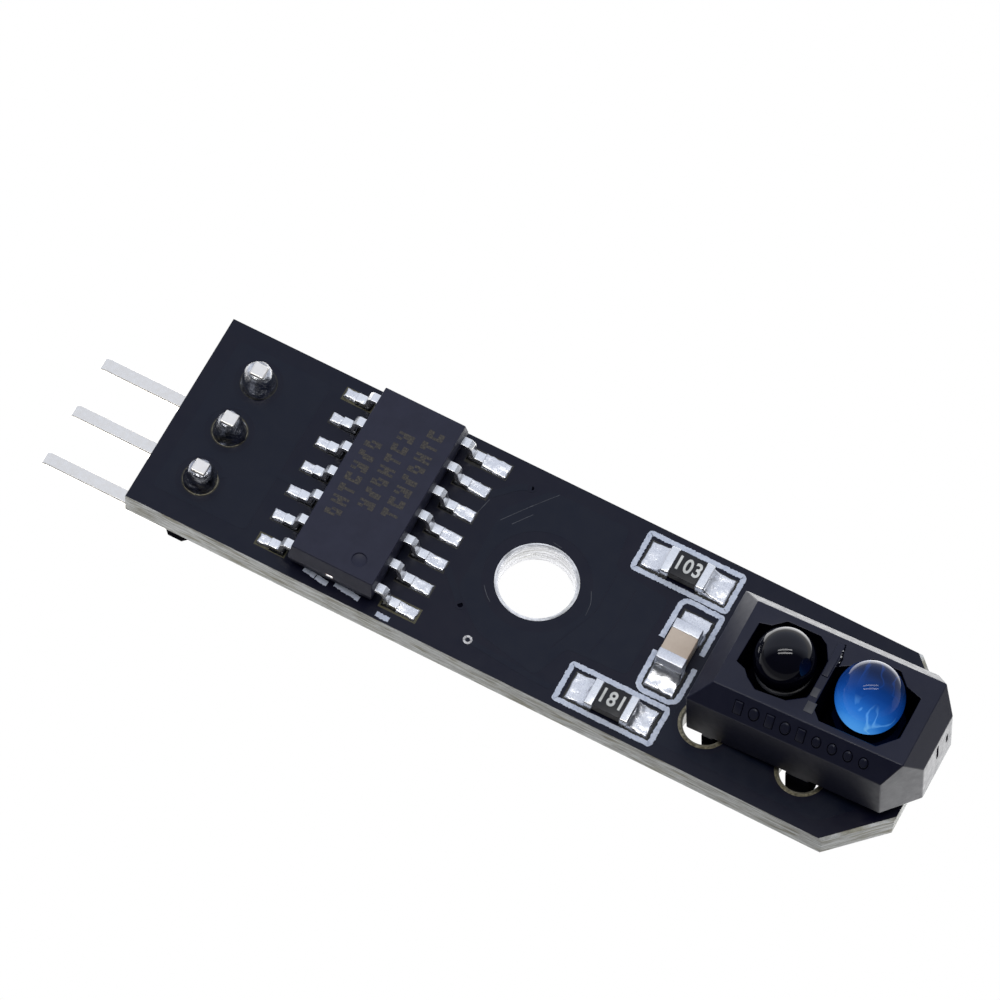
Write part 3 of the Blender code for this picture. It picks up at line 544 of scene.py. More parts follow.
def ribbon(corners, width, radius, closed=True, wobble=0.02, seed=0.0, step=0.07):
    """Left and right edges of a line along a path, each a little ragged."""
    path = even_steps(round_corners(corners, radius, closed), step, closed)
    count = len(path)
    sides = ([], [])
    for index, point in enumerate(path):
        here = Vector(point)
        before = Vector(path[index - 1] if closed or index else point)
        after = Vector(path[(index + 1) % count] if closed or index < count - 1 else point)
        along = (after - before).normalized()
        across = Vector((-along.y, along.x))
        for side, sign in zip(sides, (1, -1)):
            drift = noise.noise(Vector((here.x * 4, here.y * 4, seed + sign)))
            fray = noise.noise(Vector((here.x * 15, here.y * 15, seed - 3 * sign)))
            side.append(here + across * sign * (width / 2 + wobble * (0.7 * drift + 1.5 * fray)))
    return sides


def strip(corners, width, radius, low, high, closed=True, **edge):
    """A thin flat line along a path, between two heights, as a mesh."""
    sides = ribbon(corners, width, radius, closed, **edge)
    shape = bmesh.new()
    rows = []
    for left, right in zip(*sides):
        rows.append([shape.verts.new((point.x, point.y, height))
                     for point, height in ((left, high), (right, high), (right, low), (left, low))])
    followers = rows[1:] + rows[:1] if closed else rows[1:]
    for row, after in zip(rows, followers):
        bridge(shape, after, row)
    if not closed:
        shape.faces.new(rows[0])
        shape.faces.new(rows[-1][::-1])
    return as_mesh(shape)


def block(low, high, radius, segments=3):
    """A box between two corners with rounded edges, as a mesh."""
    low, high = Vector(low), Vector(high)
    shape = bmesh.new()
    bmesh.ops.create_cube(shape, size=1.0)
    bmesh.ops.scale(shape, vec=high - low, verts=shape.verts)
    bmesh.ops.translate(shape, vec=(low + high) / 2, verts=shape.verts)
    bmesh.ops.bevel(shape, geom=shape.edges[:], offset=radius, segments=segments, profile=0.5,
                    affect="EDGES")
    return as_mesh(shape)


def roughen(mesh, amount, size, seed=0.0):
    """Moves vertices along their normals by smooth noise, all in millimetres."""
    for vert in mesh.vertices:
        where = Vector(vert.co) / size + Vector((seed, 2.3 * seed, -seed))
        vert.co += vert.normal * amount * noise.noise(where)
    return mesh


def refined(node, material, slot, width, segments=2, angle=28.0):
    """A CAD node's own shape with softened edges, in place of the node."""
    mesh = NODES[node].data.copy()
    shape = bmesh.new()
    shape.from_mesh(mesh)
    bmesh.ops.remove_doubles(shape, verts=shape.verts, dist=0.0002 * MM)
    bmesh.ops.dissolve_limit(shape, angle_limit=math.radians(0.6), verts=shape.verts,
                             edges=shape.edges)
    shape.to_mesh(mesh)
    shape.free()
    piece = add_piece(node + "_piece", mesh, material, slot, node, place=Matrix.Identity(4), sharp=40.0)
    bevel = piece.modifiers.new("soft_edges", "BEVEL")
    bevel.width = width * MM
    bevel.segments = segments
    bevel.limit_method = "ANGLE"
    bevel.angle_limit = math.radians(angle)
    bevel.harden_normals = True
    return piece


def turned(profile, steps=64):
    """A profile of (radius, height) points, top to bottom, turned about z."""
    shape = bmesh.new()
    rings = []
    for radius, height in profile:
        if radius < 1e-6:
            rings.append([shape.verts.new((0, 0, height))])
            continue
        rings.append([shape.verts.new((x, y, height)) for x, y in circle(0, 0, radius, steps)])
    for upper, lower in zip(rings, rings[1:]):
        if len(upper) == len(lower):
            bridge(shape, upper, lower)
            continue
        for step in range(steps):
            after = (step + 1) % steps
            if len(upper) == 1:
                shape.faces.new((upper[0], lower[step], lower[after]))
            else:
                shape.faces.new((upper[step], lower[0], upper[after]))
    return as_mesh(shape)


def solder_heap(low, high, wetted, climb, base=0.1, reach=0.14, seed=0.0, step=0.045):
    """Solder on a pad: flat-topped with rounded rims, climbing towards the metal it wets.

    low and high are the pad's corners, wetted is the metal's (low x, low y, high x, high y)."""
    columns, lines = [max(2, round((high[axis] - low[axis]) / step)) for axis in (0, 1)]
    rim = 0.09
    shape = bmesh.new()
    rows = []
    for i in range(columns + 1):
        x = low[0] + (high[0] - low[0]) * i / columns
        row = []
        for j in range(lines + 1):
            y = low[1] + (high[1] - low[1]) * j / lines
            inside = min(x - low[0], high[0] - x, y - low[1], high[1] - y)
            edge = math.sqrt(max(0.0, 1 - (1 - min(inside / rim, 1.0)) ** 2))
            away = math.hypot(max(wetted[0] - x, 0, x - wetted[2]),
                              max(wetted[1] - y, 0, y - wetted[3]))
            lumps = 0.03 * noise.noise(Vector((x * 2.2, y * 2.2, seed)))
            lumps += 0.010 * noise.noise(Vector((x * 7, y * 7, seed)))
            height = base + climb * math.exp(-away / reach) + lumps
            ragged = 0.035 * noise.noise(Vector((x * 4.5, y * 4.5, seed + 7)))
            row.append(shape.verts.new((x + ragged, y - ragged, 0.004 + edge * height)))
        rows.append(row)
    for i in range(columns):
        for j in range(lines):
            shape.faces.new((rows[i][j], rows[i + 1][j], rows[i + 1][j + 1], rows[i][j + 1]))
    border = [row[0] for row in rows] + rows[-1][1:]
    border += [row[-1] for row in rows[-2::-1]] + rows[0][-2:0:-1]
    under = [shape.verts.new((vert.co.x, vert.co.y, 0.0)) for vert in border]
    bridge(shape, border, under)
    shape.faces.new(under)
    return as_mesh(shape)


# ------------------------------ circuit board

def solder_centres(kind, count):
    """Board-frame x and y of the solder joints of one kind."""
    places = []
    for index in range(1, count + 1):
        low, high = board_box(f"{kind}_solder_{index}")
        places.append(((low.x + high.x) / 2, (low.y + high.y) / 2))
    return places


HEADER_PLACES = solder_centres("header", 3)
SENSOR_PLACES = solder_centres("sensor", 4)


def board_outline(inset, corner_inset=0.0):
    """The board's outline, drawn in from its edges, and further in at the chamfers."""
    cut = BOARD_CHAMFER + corner_inset * math.sqrt(2) - inset * (2 - math.sqrt(2))
    long, wide = BOARD_LENGTH - inset, BOARD_WIDTH - inset
    return [(inset, inset), (long - cut, inset), (long, inset + cut),
            (long, wide - cut), (long - cut, wide), (inset, wide)]


def board_holes(grow=0.0):
    """Loops of all the board's holes; grow widens all but the vias."""
    x, y, radius = MOUNT_HOLE
    loops = [circle(x, y, radius + grow, 96)]
    loops += [circle(x, y, radius + grow, 40) for x, y, radius in PEG_HOLES]
    loops += [circle(x, y, radius, 40) for x, y, radius in VIAS]
    loops += [circle(x, y, LEG_HOLE_RADIUS + grow, 40) for x, y in HEADER_PLACES + SENSOR_PLACES]
    return loops


def make_board():
    """Laminate core, the mounting hole's pale wall and stepped rim, and the mask on both faces."""
    core = plate([board_outline(0.0)] + board_holes(), BOARD_UNDER + MASK_THICKNESS, -MASK_THICKNESS)
    add_piece("board_laminate", core, LAMINATE, "board_laminate", "circuit_board")
    x, y, radius = MOUNT_HOLE
    for name, lip, low, high in (("wall", 0.12, BOARD_UNDER + 0.004, -0.045),
                                 ("rim", 0.045, -0.05, -0.002)):
        ring = plate(annulus(x, y, radius - lip, radius + 0.02, 96), low, high)
        add_piece(f"mount_hole_{name}", ring, HOLE_WALL, "board_laminate")
    loops = [board_outline(0.012, 0.13)] + board_holes(0.03)
    for name, low in (("top", -MASK_THICKNESS), ("bottom", BOARD_UNDER)):
        add_piece(f"board_{name}_mask", plate(loops, low, low + MASK_THICKNESS), MASK, "board_laminate")


def make_copper_relief():
    """Copper areas under the mask, which lift it a little and tint it."""
    clear_of_pins = [circle(x, y, 1.05) for x, y in HEADER_PLACES]
    x, y, radius = MOUNT_HOLE
    between_tracks = [circle(x, y, radius + 0.55, 72)]
    for corners in ([(18.6, 2.3), (19.5, 4.6), (19.5, 6.5)], [(20.1, 2.9), (20.5, 4.4), (20.5, 6.3)]):
        left, right = ribbon(corners, 0.05, 0.4, False, 0.004)
        between_tracks.append([tuple(point) for point in left + right[::-1]])
    clear_of_pegs = [circle(x, y, 1.35) for x, y, radius in PEG_HOLES]
    areas = {
        "header": (rectangle(0.75, 0.95, 5.1, 8.6), clear_of_pins),
        "middle": ([(14.0, 2.9), (15.6, 1.5), (18.6, 0.9), (19.2, 2.6), (21.9, 2.7), (21.9, 6.6),
                    (19.3, 6.8), (19.0, 8.7), (15.4, 8.7), (14.0, 7.0)], between_tracks),
        "sensor": ([(24.2, 0.6), (31.6, 0.6), (33.3, 2.4), (33.3, 6.8), (31.8, 8.6), (24.6, 8.6)],
                   clear_of_pegs),
    }
    for name, (corners, holes) in areas.items():
        area = plate([round_corners(corners, 0.3)] + holes, 0, 0.006)
        add_piece(f"copper_relief_{name}", area, MASK_ON_COPPER, "board_laminate")


def make_wear():
    """Fine scratches in the mask, and bare rims round the peg holes."""
    scratches = [
        [(14.11, 6.47), (14.92, 7.60), (15.76, 8.69)], [(14.63, 6.55), (15.2, 7.35)],
        [(14.90, 3.52), (15.16, 3.20), (15.47, 2.96)], [(13.02, 5.87), (13.30, 7.1)],
        [(18.9, 5.4), (19.15, 4.9), (19.2, 4.3)], [(16.52, 6.62), (16.95, 6.56)],
    ]
    width = 0.022
    for index, corners in enumerate(scratches, 1):
        mark = strip(corners, width, 0.2, 0.004, 0.009, False, wobble=0.006, seed=index)
        add_piece(f"mask_scratch_{index}", mark, WORN_MASK, "board_laminate")
    for index, (x, y, radius) in enumerate(PEG_HOLES, 1):
        rim = plate(annulus(x, y, radius - 0.004, radius + 0.12, 64), -0.02, 0.012)
        add_piece(f"peg_hole_rim_{index}", rim, PEG_RING, "board_laminate")
        wall = plate(annulus(x, y, radius - 0.09, radius + 0.02, 64), BOARD_UNDER, -0.06)
        add_piece(f"peg_hole_wall_{index}", wall, PEG_WALL, "board_laminate")


def make_traces():
    """Tracks under the mask, on both faces, as low ridges."""
    top = [
        (0.3, [(2.4, 2.2), (4.4, 3.9), (5.8, 3.9)]),
        (0.3, [(13.2, 3.5), (14.4, 2.3)]),
        (0.3, [(13.2, 7.3), (14.2, 8.3), (14.6, 8.4)]),
        (0.25, [(15.4, 1.0), (18.6, 0.75), (19.4, 0.75)]),
    ]
    bottom = [
        (0.5, [(2.4, 7.2), (6.0, 7.9), (14.4, 8.3), (22.5, 7.4), (27.8, 5.9)]),
        (0.35, [(2.4, 2.2), (6.0, 1.4), (15.4, 1.1), (22.0, 1.4), (24.0, 3.5), (27.8, 3.7)]),
        (0.35, [(2.4, 4.7), (8.0, 4.7), (12.6, 3.4), (14.4, 2.3)]),
        (0.35, [(31.8, 5.8), (29.6, 7.4), (24.0, 8.4), (14.6, 8.4)]),
    ]
    for face, tracks, bend in (("top", top, 0.3), ("bottom", bottom, 0.4)):
        for index, (width, corners) in enumerate(tracks, 1):
            low, high = 0.0, 0.008
            if face == "bottom":
                low, high = BOARD_UNDER - 0.008 - 0.002 * index, BOARD_UNDER
            line = strip(corners, width, bend, low, high, False, wobble=0.0)
            add_piece(f"track_{face}_{index}", line, MASK_ON_COPPER, "board_laminate")


def make_vias():
    """Small plated holes: two under the mask, one with a tinned ring; each is filled by a dark plug of
    painted shade.
    """
    rings = [(MASK, RIB_SHADE), (VIA_RING, SHADED_SOLDER), (MASK, RIB_SHADE)]
    for index, ((x, y, radius), (ring, inside)) in enumerate(zip(VIAS, rings), 1):
        slot = "solder" if ring is VIA_RING else "board_laminate"
        loops = annulus(x, y, radius * 0.8, radius + 0.07)
        add_piece(f"via_ring_top_{index}", plate(loops, 0, 0.012), ring, slot)
        under = plate(loops, BOARD_UNDER - 0.012, BOARD_UNDER)
        add_piece(f"via_ring_bottom_{index}", under, ring, slot)
        plug = plate([circle(x, y, radius * 0.98)], BOARD_UNDER + 0.03, -0.03)
        add_piece(f"via_plug_{index}", plug, inside, slot)


def add_bottom_pad(name, x, y, radius):
    """A tinned ring round a leg's hole, on the board's underside."""
    pad = plate(annulus(x, y, LEG_HOLE_RADIUS - 0.02, radius), BOARD_UNDER - 0.016,
                BOARD_UNDER + 0.01)
    add_piece(name, pad, TINNED_PAD, "solder")


def make_hole_pads():
    """Round pads: the header's on both faces, the sensor leads' on the underside."""
    radius = 0.75
    for index, (x, y) in enumerate(HEADER_PLACES, 1):
        gap = plate(annulus(x, y, radius - 0.01, radius + 0.05), -0.01, 0.004)
        add_piece(f"header_pad_gap_{index}", gap, PAD_GAP, "board_laminate")
        pad = plate(annulus(x, y, LEG_HOLE_RADIUS - 0.02, radius), -0.01, 0.014)
        add_piece(f"header_pad_top_{index}", pad, PEG_RING, "solder")
        add_bottom_pad(f"header_pad_bottom_{index}", x, y, 0.86)
    for index, (x, y) in enumerate(SENSOR_PLACES, 1):
        add_bottom_pad(f"sensor_pad_{index}", x, y, 0.92)


# ------------------------------ pin header

def solder_cone(foot, top, height, hollow, seed):
    """A solder fillet round a square leg, with an uneven skin."""
    rings = 14
    profile = [(0.0, height * 0.97)]
    for ring in range(rings + 1):
        down = ring / rings
        profile.append((top + (foot - top) * down ** hollow, height * (1 - down)))
    profile.append((0.0, 0.0))
    mesh = turned(profile, 56)
    for vert in mesh.vertices:
        where = Vector((vert.co.x * 1.5, vert.co.y * 1.5, vert.co.z * 1.5 + seed))
        grow = 1 + 0.14 * noise.noise(where) + 0.04 * noise.noise(where * 4)
        if 0.02 < vert.co.z:
            vert.co.x *= grow
            vert.co.y *= grow
            vert.co.z *= 1 + 0.06 * noise.noise(where * 1.3 + Vector((4, 1, 0)))
    return mesh


# Radius at the foot and at the top, height, hollowness and finish of each header joint.
# The dark finish of the first two joints is a painted reflection of dark surroundings; the third joint
# is bright.
HEADER_JOINTS = (
    (0.72, 0.40, 1.06, 0.62, DARK_JOINT),
    (0.73, 0.36, 1.08, 0.66, DARK_JOINT),
    (0.76, 0.22, 1.15, 0.34, BALL_JOINT),
)


def make_header():
    """Header moulding, pins, and each pin's solder joint on the top face."""
    refined("header_insulator", HEADER_PLASTIC, "black_plastic", 0.06)
    for index, ((x, y), joint) in enumerate(zip(HEADER_PLACES, HEADER_JOINTS), 1):
        refined(f"header_pin_{index}", HEADER_PIN, "tinned_pin", 0.075, segments=3)
        foot, top, height, hollow, finish = joint
        cone = solder_cone(foot, top, height, hollow, seed=index * 3.7)
        cone.transform(Matrix.Translation((x, y, 0.012)))
        add_piece(f"header_joint_{index}", cone, finish, "solder", f"header_solder_{index}",
                  sharp=60)


# ------------------------------ logic chip

CHIP_LOW, CHIP_HIGH = board_box("chip_body")
CHIP_TOP = CHIP_HIGH.z
CHIP_X = (CHIP_LOW.x + CHIP_HIGH.x) / 2
CHIP_Y = (CHIP_LOW.y + CHIP_HIGH.y) / 2
CHIP_PARTING = 0.85
CHIP_SIDE_DRAFT = 0.08
CHIP_END_DRAFT = 0.18
DIMPLE_PLACE = (CHIP_X + 0.87, CHIP_LOW.y + 0.95)
DIMPLE_RADIUS = 0.33
DIMPLE_DEPTH = 0.06


def make_chip_body():
    """Moulded body: drafted above and below its parting line, with its dimple."""
    half_x = (CHIP_HIGH.x - CHIP_LOW.x) / 2
    half_y = (CHIP_HIGH.y - CHIP_LOW.y) / 2
    shape = bmesh.new()
    rings = []
    for height in (CHIP_LOW.z, CHIP_PARTING, CHIP_TOP):
        drafted = height != CHIP_PARTING
        x = half_x - drafted * CHIP_SIDE_DRAFT
        y = half_y - drafted * CHIP_END_DRAFT
        rings.append([shape.verts.new((CHIP_X + sx * x, CHIP_Y + sy * y, height))
                      for sx, sy in ((-1, -1), (1, -1), (1, 1), (-1, 1))])
    shape.faces.new(rings[0][::-1])
    shape.faces.new(rings[2])
    for low, high in zip(rings, rings[1:]):
        bridge(shape, high, low)
    bmesh.ops.bevel(shape, geom=shape.edges[:], offset=0.045, segments=3, profile=0.5,
                    affect="EDGES")
    body = add_piece("chip_package", as_mesh(shape), EPOXY, "chip_epoxy", "chip_body")
    cut_dimple(body)
    body.data.set_sharp_from_angle(angle=math.radians(60))
    body.modifiers.new("even_normals", "WEIGHTED_NORMAL").keep_sharp = True


def cut_dimple(body):
    """Cuts the round pin-one dimple into the chip's top."""
    dot = turned([(0.0, 0.2), (DIMPLE_RADIUS, 0.2), (DIMPLE_RADIUS, -DIMPLE_DEPTH / 2),
                  (DIMPLE_RADIUS - 0.04, -DIMPLE_DEPTH), (0.0, -DIMPLE_DEPTH)], 48)
    dot.transform(Matrix.Translation((*DIMPLE_PLACE, CHIP_TOP)))
    dot.transform(BOARD_FRAME)
    cutter = in_scene("dimple_cutter", dot)
    dimple = body.modifiers.new("dimple", "BOOLEAN")
    dimple.operation = "DIFFERENCE"
    dimple.solver = "EXACT"
    dimple.object = cutter
    body.data = shown_mesh(body)
    body.modifiers.clear()
    bpy.data.objects.remove(cutter)


def make_tie_bar_end():
    """The cut end of the lead frame's tie bar, a small bright spot on the body's front."""
    low, high = board_box("chip_die_paddle")
    x, y = (low.x + high.x) / 2, low.y
    end = block((x - 0.15, y - 0.016, CHIP_PARTING - 0.09), (x + 0.15, y + 0.02, CHIP_PARTING + 0.09),
                0.01, 2)
    add_piece("tie_bar_end", end, TINNED_LEAD, "tinned_lead")


def make_chip_marks():
    """Faint rows of plain little cell patterns where a chip is marked; they spell nothing."""
    rows = [(8.2, 2.62, 7), (9.25, 3.55, 7), (10.3, 3.62, 8)]
    glyphs = ("111010010", "101111101", "110101011", "011110110", "101011111", "111100111")
    pitch = 0.58
    cell_x, cell_y = 0.235, 0.125
    high = CHIP_TOP + 0.003
    for row, (x, start, count) in enumerate(rows, 1):
        shape = bmesh.new()
        for index in range(count):
            glyph = glyphs[(index * 5 + row * 2) % len(glyphs)]
            for place, cell in enumerate(glyph):
                if cell == "0":
                    continue
                across, along = divmod(place, 3)
                low_x = x + (across - 1.5) * cell_x
                low_y = start + pitch * index + along * cell_y
                corners = rectangle(low_x, low_y, low_x + cell_x, low_y + cell_y)
                shape.faces.new([shape.verts.new((cx, cy, high)) for cx, cy in corners])
        bmesh.ops.remove_doubles(shape, verts=shape.verts, dist=0.001)
        made = bmesh.ops.extrude_face_region(shape, geom=shape.faces[:])
        moved = [item for item in made["geom"] if isinstance(item, bmesh.types.BMVert)]
        bmesh.ops.translate(shape, vec=(0, 0, -0.01), verts=moved)
        add_piece(f"chip_mark_row_{row}", as_mesh(shape), CHIP_MARK, "chip_epoxy")


def make_chip_leads():
    """Gull-wing leads, each on its own pad: bright solder past the toe, and solder in painted shade
    beside the foot.
    """
    olive_edges = (1, 8, 14)
    foot, overlap = 0.62, 0.12
    for index in range(1, 15):
        node = f"chip_lead_{index:02d}"
        refined(node, TINNED_LEAD, "tinned_lead", 0.03)
        low, high = board_box(node)
        side = 1 if index <= 7 else -1
        toe = high.x if side > 0 else low.x
        middle = (low.y + high.y) / 2
        past, wide = (0.85, 0.29) if side > 0 else (0.55, 0.25)
        if index == 7:
            past, wide = 1.15, 0.36
        tip = toe + side * past
        root = toe - side * foot - side * overlap
        start, end = sorted((toe - side * 0.06, tip))
        heap = solder_heap((start, middle - wide), (end, middle + wide),
                           (start, low.y, toe, high.y), 0.07, base=0.10, seed=index * 1.9)
        add_piece(f"chip_pad_{index:02d}", heap, SOLDER, "solder", sharp=50)
        start, end = sorted((root, toe - side * 0.02))
        beside = solder_heap((start, middle - 0.27), (end, middle + 0.27),
                             (start, low.y, end, high.y), 0.10, base=0.02, reach=0.04,
                             seed=index * 2.3)
        add_piece(f"chip_fillet_{index:02d}", beside, SHADED_SOLDER, "solder", sharp=50)
        start, end = sorted((root, tip))
        gap, finish = (0.07, BARE_LAMINATE) if index in olive_edges else (0.035, PAD_GAP)
        bare = rectangle(start - gap, middle - wide - gap, end + gap, middle + wide + gap)
        add_piece(f"chip_pad_gap_{index:02d}", plate([bare], -0.01, 0.003), finish,
                  "board_laminate")


# ------------------------------ resistors and capacitor

# Low and high corners of both pads of each part, end a first.
RESISTOR_1_PADS = (((20.12, 7.40), (21.30, 8.67)), ((22.75, 7.40), (24.0, 8.67)))
RESISTOR_2_PADS = (((20.08, 0.58), (21.25, 1.86)), ((22.70, 0.58), (23.88, 1.86)))
CAPACITOR_PADS = (((22.65, 2.68), (24.0, 3.95)), ((22.68, 5.25), (24.0, 6.50)))


def make_terminal(name, node, material, seed):
    """A plated end cap, slightly uneven."""
    low, high = board_box(node)
    cap = roughen(block(low, high, 0.06, 4), 0.02, 0.3, seed)
    add_piece(name, cap, material, "tinned_lead", node, sharp=55)


def make_pad_heaps(name, pads, climb):
    """Solder under and beyond both end caps of a chip part."""
    for end, (low, high) in zip("ab", pads):
        cap_low, cap_high = board_box(f"{name}_terminal_{end}")
        wetted = (cap_low.x, cap_low.y, cap_high.x, cap_high.y)
        heap = solder_heap(low, high, wetted, climb, base=0.09, reach=0.22,
                           seed=low[0] + low[1], step=0.05)
        add_piece(f"{name}_solder_{end}", heap, SOLDER, "solder", sharp=50)
        bare = rectangle(low[0] - 0.06, low[1] - 0.06, high[0] + 0.06, high[1] + 0.06)
        add_piece(f"{name}_pad_gap_{end}", plate([bare], -0.01, 0.003), PAD_GAP, "board_laminate")


def make_digits(name, text, centre, height, top):
    """Plain value digits printed on a resistor, read along x."""
    curve = bpy.data.curves.new("digits", "FONT")
    curve.body = text
    curve.size = height * 1.38
    curve.align_x = "CENTER"
    curve.align_y = "CENTER"
    curve.extrude = 0.004
    curve.space_character = 1.1
    curve.offset = 0.02
    mesh = curve_mesh(curve)
    mesh.transform(Matrix.Translation((centre[0], centre[1], top))
                   @ Matrix.Scale(0.82, 4, (1, 0, 0)))
    add_piece(name, mesh, PALE_PRINT_AND_GLINT, "white_ceramic")


def make_resistor(number, text, pads):
    """Ceramic body, printed overcoat, end caps and their solder."""
    name = f"resistor_{number}"
    refined(f"{name}_body", WHITE_CERAMIC, "white_ceramic", 0.02)
    low, high = board_box(f"{name}_overcoat")
    coat = block((low.x - 0.01, low.y - 0.02, low.z), high, 0.02, 2)
    add_piece(f"{name}_coat", coat, GLAZE, "resistor_glaze", f"{name}_overcoat")
    for end in "ab":
        make_terminal(f"{name}_cap_{end}", f"{name}_terminal_{end}", TINNED_LEAD, number * 7.1)
    make_pad_heaps(name, pads, 0.22)
    middle = (low + high) / 2
    make_digits(f"{name}_value", text, (middle.x, middle.y), 0.68, high.z + 0.002)


def make_capacitor(pads):
    """Plain ceramic body, end caps and their solder."""
    low, high = board_box("capacitor_1_body")
    body = roughen(block((low.x - 0.03, low.y, low.z), (high.x + 0.03, high.y, high.z + 0.03),
                         0.05, 3), 0.008, 0.3)
    add_piece("capacitor_1_ceramic", body, TAN_CERAMIC, "tan_ceramic", "capacitor_1_body")
    for end in "ab":
        make_terminal(f"capacitor_1_cap_{end}", f"capacitor_1_terminal_{end}", TINNED_PAD, 3.3)
    make_pad_heaps("capacitor_1", pads, 0.42)


# ------------------------------ printed legend

def make_legend():
    """White printed frames round the chip parts, and pieces of frame by the logic chip."""
    lines = [
        ("frame_1", rectangle(19.88, 7.2, 24.18, 8.98), 0.10, True),
        ("frame_2", rectangle(19.75, 0.39, 24.11, 2.14), 0.10, True),
        ("bracket_1", [(22.38, 4.95), (22.40, 6.72), (22.60, 6.94), (24.22, 6.90), (24.22, 4.95)],
         0.12, False),
        ("bracket_2", [(22.44, 4.3), (22.46, 2.42), (24.25, 2.45), (24.25, 4.3)], 0.45, False),
        ("fragment_1", [(8.05, 0.63), (8.62, 0.53)], 0.1, False),
        ("fragment_2", [(8.66, 0.52), (9.22, 0.45)], 0.1, False),
        ("fragment_3", [(9.49, 0.62), (10.69, 0.48)], 0.1, False),
        ("fragment_4", [(11.6, 0.25), (12.2, 0.22)], 0.1, False),
    ]
    for index, (name, corners, radius, closed) in enumerate(lines):
        width = 0.24 if name.startswith("fragment") else 0.225
        high = 0.022 - 0.002 * index     # no two lie level, so that one may cross another
        line = strip(corners, width, radius, 0.002, high, closed, wobble=0.026, seed=index * 5.0,
                     step=0.028)
        add_piece(f"legend_{name}", line, LEGEND_INK, "white_ceramic")


# ------------------------------ reflective sensor

def make_housing():
    """The housing, with painted shade in its wells and on its front wall, which reflects less."""
    housing = refined("sensor_housing", HOUSING_PLASTIC, "housing_plastic", 0.05, segments=3,
                      angle=20.0)
    housing.data.materials.append(DARK_BASE)
    housing.data.materials.append(HOUSING_WALL)
    back = SENSOR_FRAME.inverted()
    for face in housing.data.polygons:
        middle = back @ face.center
        in_well = abs(middle.y) < 1.8 and abs(middle.x) < 3.8 and 0.3 < middle.z < 3.6
        on_front = middle.y < -2.6 and face.normal.y < -0.9
        # Well faces and front-wall faces get the shaded copies.
        if in_well:
            face.material_index = 1
        elif on_front:
            face.material_index = 2


def slope_matrix():
    """On the housing's front slope: x along the housing, y up the slope, z out of it."""
    rise = HOUSING_HEIGHT - HOUSING_WALL_TOP
    up = Vector((0, HOUSING_SLOPE_SIDE, rise)).normalized()
    out = Vector((0, -rise, HOUSING_SLOPE_SIDE)).normalized()
    foot = Vector((0, -HOUSING_WIDTH / 2, HOUSING_WALL_TOP))
    return SENSOR_FRAME @ Matrix.Translation(foot) @ axes_matrix(Vector((1, 0, 0)), up, out)


def make_ribs():
    """Small plain raised pads and bosses along the front slope, each on a flat patch of painted shade
    that outlines it.
    """
    place = slope_matrix()
    first_x, pitch = -2.80, 0.70
    up = 0.62
    for index in range(9):
        x = first_x + pitch * index
        if index in (0, 2, 4):
            rib = block((x - 0.17, 0.33, -0.03), (x + 0.17, 0.92, 0.055), 0.04, 3)
            shade_patch = rectangle(x - 0.20, 0.30, x + 0.20, 0.95)
        else:
            size = 0.22 if index < 4 else 0.19
            rib = turned([(0.0, 0.06), (size - 0.05, 0.055), (size, -0.01), (size, -0.03),
                          (0.0, -0.03)], 28)
            rib.transform(Matrix.Translation((x, up, 0)) @ Matrix.Scale(1.3, 4, (0, 1, 0)))
            shade_patch = [(px, up + 1.3 * (py - up)) for px, py in circle(x, up, size + 0.03, 28)]
        add_housing_piece(f"housing_rib_{index + 1}_1", rib, RIB_PLASTIC, place)
        add_housing_piece(f"housing_rib_recess_{index + 1}", plate([shade_patch], -0.01, 0.003), RIB_SHADE,
                          place)


def make_peg_faces():
    """Painted shade on the snap pegs' fronts, below the board, which shadows them."""
    front = -HOUSING_WIDTH / 2
    for index, (middle, width) in enumerate(((-4.05, 0.5), (0.03, 1.04)), 1):
        face = block((middle - width / 2 - 0.008, front - 0.01, -1.7),
                     (middle + width / 2 + 0.008, front + 0.758, -0.12), 0.008, 2)
        add_housing_piece(f"peg_face_{index}", face, PEG_SHADE)


def make_divider_marks():
    """Between the windows: a low rounded ridge, worn flat pads, a crack drawn as a flat strip of
    painted shade, and small painted glints.
    """
    top = HOUSING_HEIGHT
    ridge = block((-0.37, 0.15, top - 0.1), (-0.03, 1.78, top + 0.05), 0.05, 3)
    add_housing_piece("divider_ridge", ridge, HOUSING_PLASTIC)
    pads = [(-0.36, -0.86, -0.06, -0.44), (-0.30, -1.60, 0.10, -1.10), (-0.10, 1.25, 0.02, 1.42)]
    for index, (low_x, low_y, high_x, high_y) in enumerate(pads, 1):
        pad = block((low_x, low_y, top - 0.05), (high_x, high_y, top + 0.015), 0.012, 2)
        add_housing_piece(f"divider_pad_{index}", pad, WORN_PLASTIC)
    # Painted shade: the crack is a flat dark strip.
    crack = strip([(-0.06, 1.82), (0.0, 1.45), (0.1, 1.1), (0.06, 0.78)], 0.11, 0.1, top - 0.05,
                  top + 0.006, False, wobble=0.03, seed=8.0, step=0.05)
    add_housing_piece("divider_crack", crack, RIB_SHADE)
    # Painted glints: small pale specks in the crack.
    glint_specks = [(0.03, 1.24, 0.07), (0.08, 0.98, 0.05), (-0.02, 1.52, 0.05)]
    for index, (x, y, size) in enumerate(glint_specks, 1):
        chip = roughen(block((x - size / 2, y - size / 2, top - 0.03),
                             (x + size / 2, y + size / 2, top + 0.03), 0.015, 2), 0.02, 0.1, index)
        add_housing_piece(f"divider_glint_{index}", chip, PALE_PRINT_AND_GLINT)


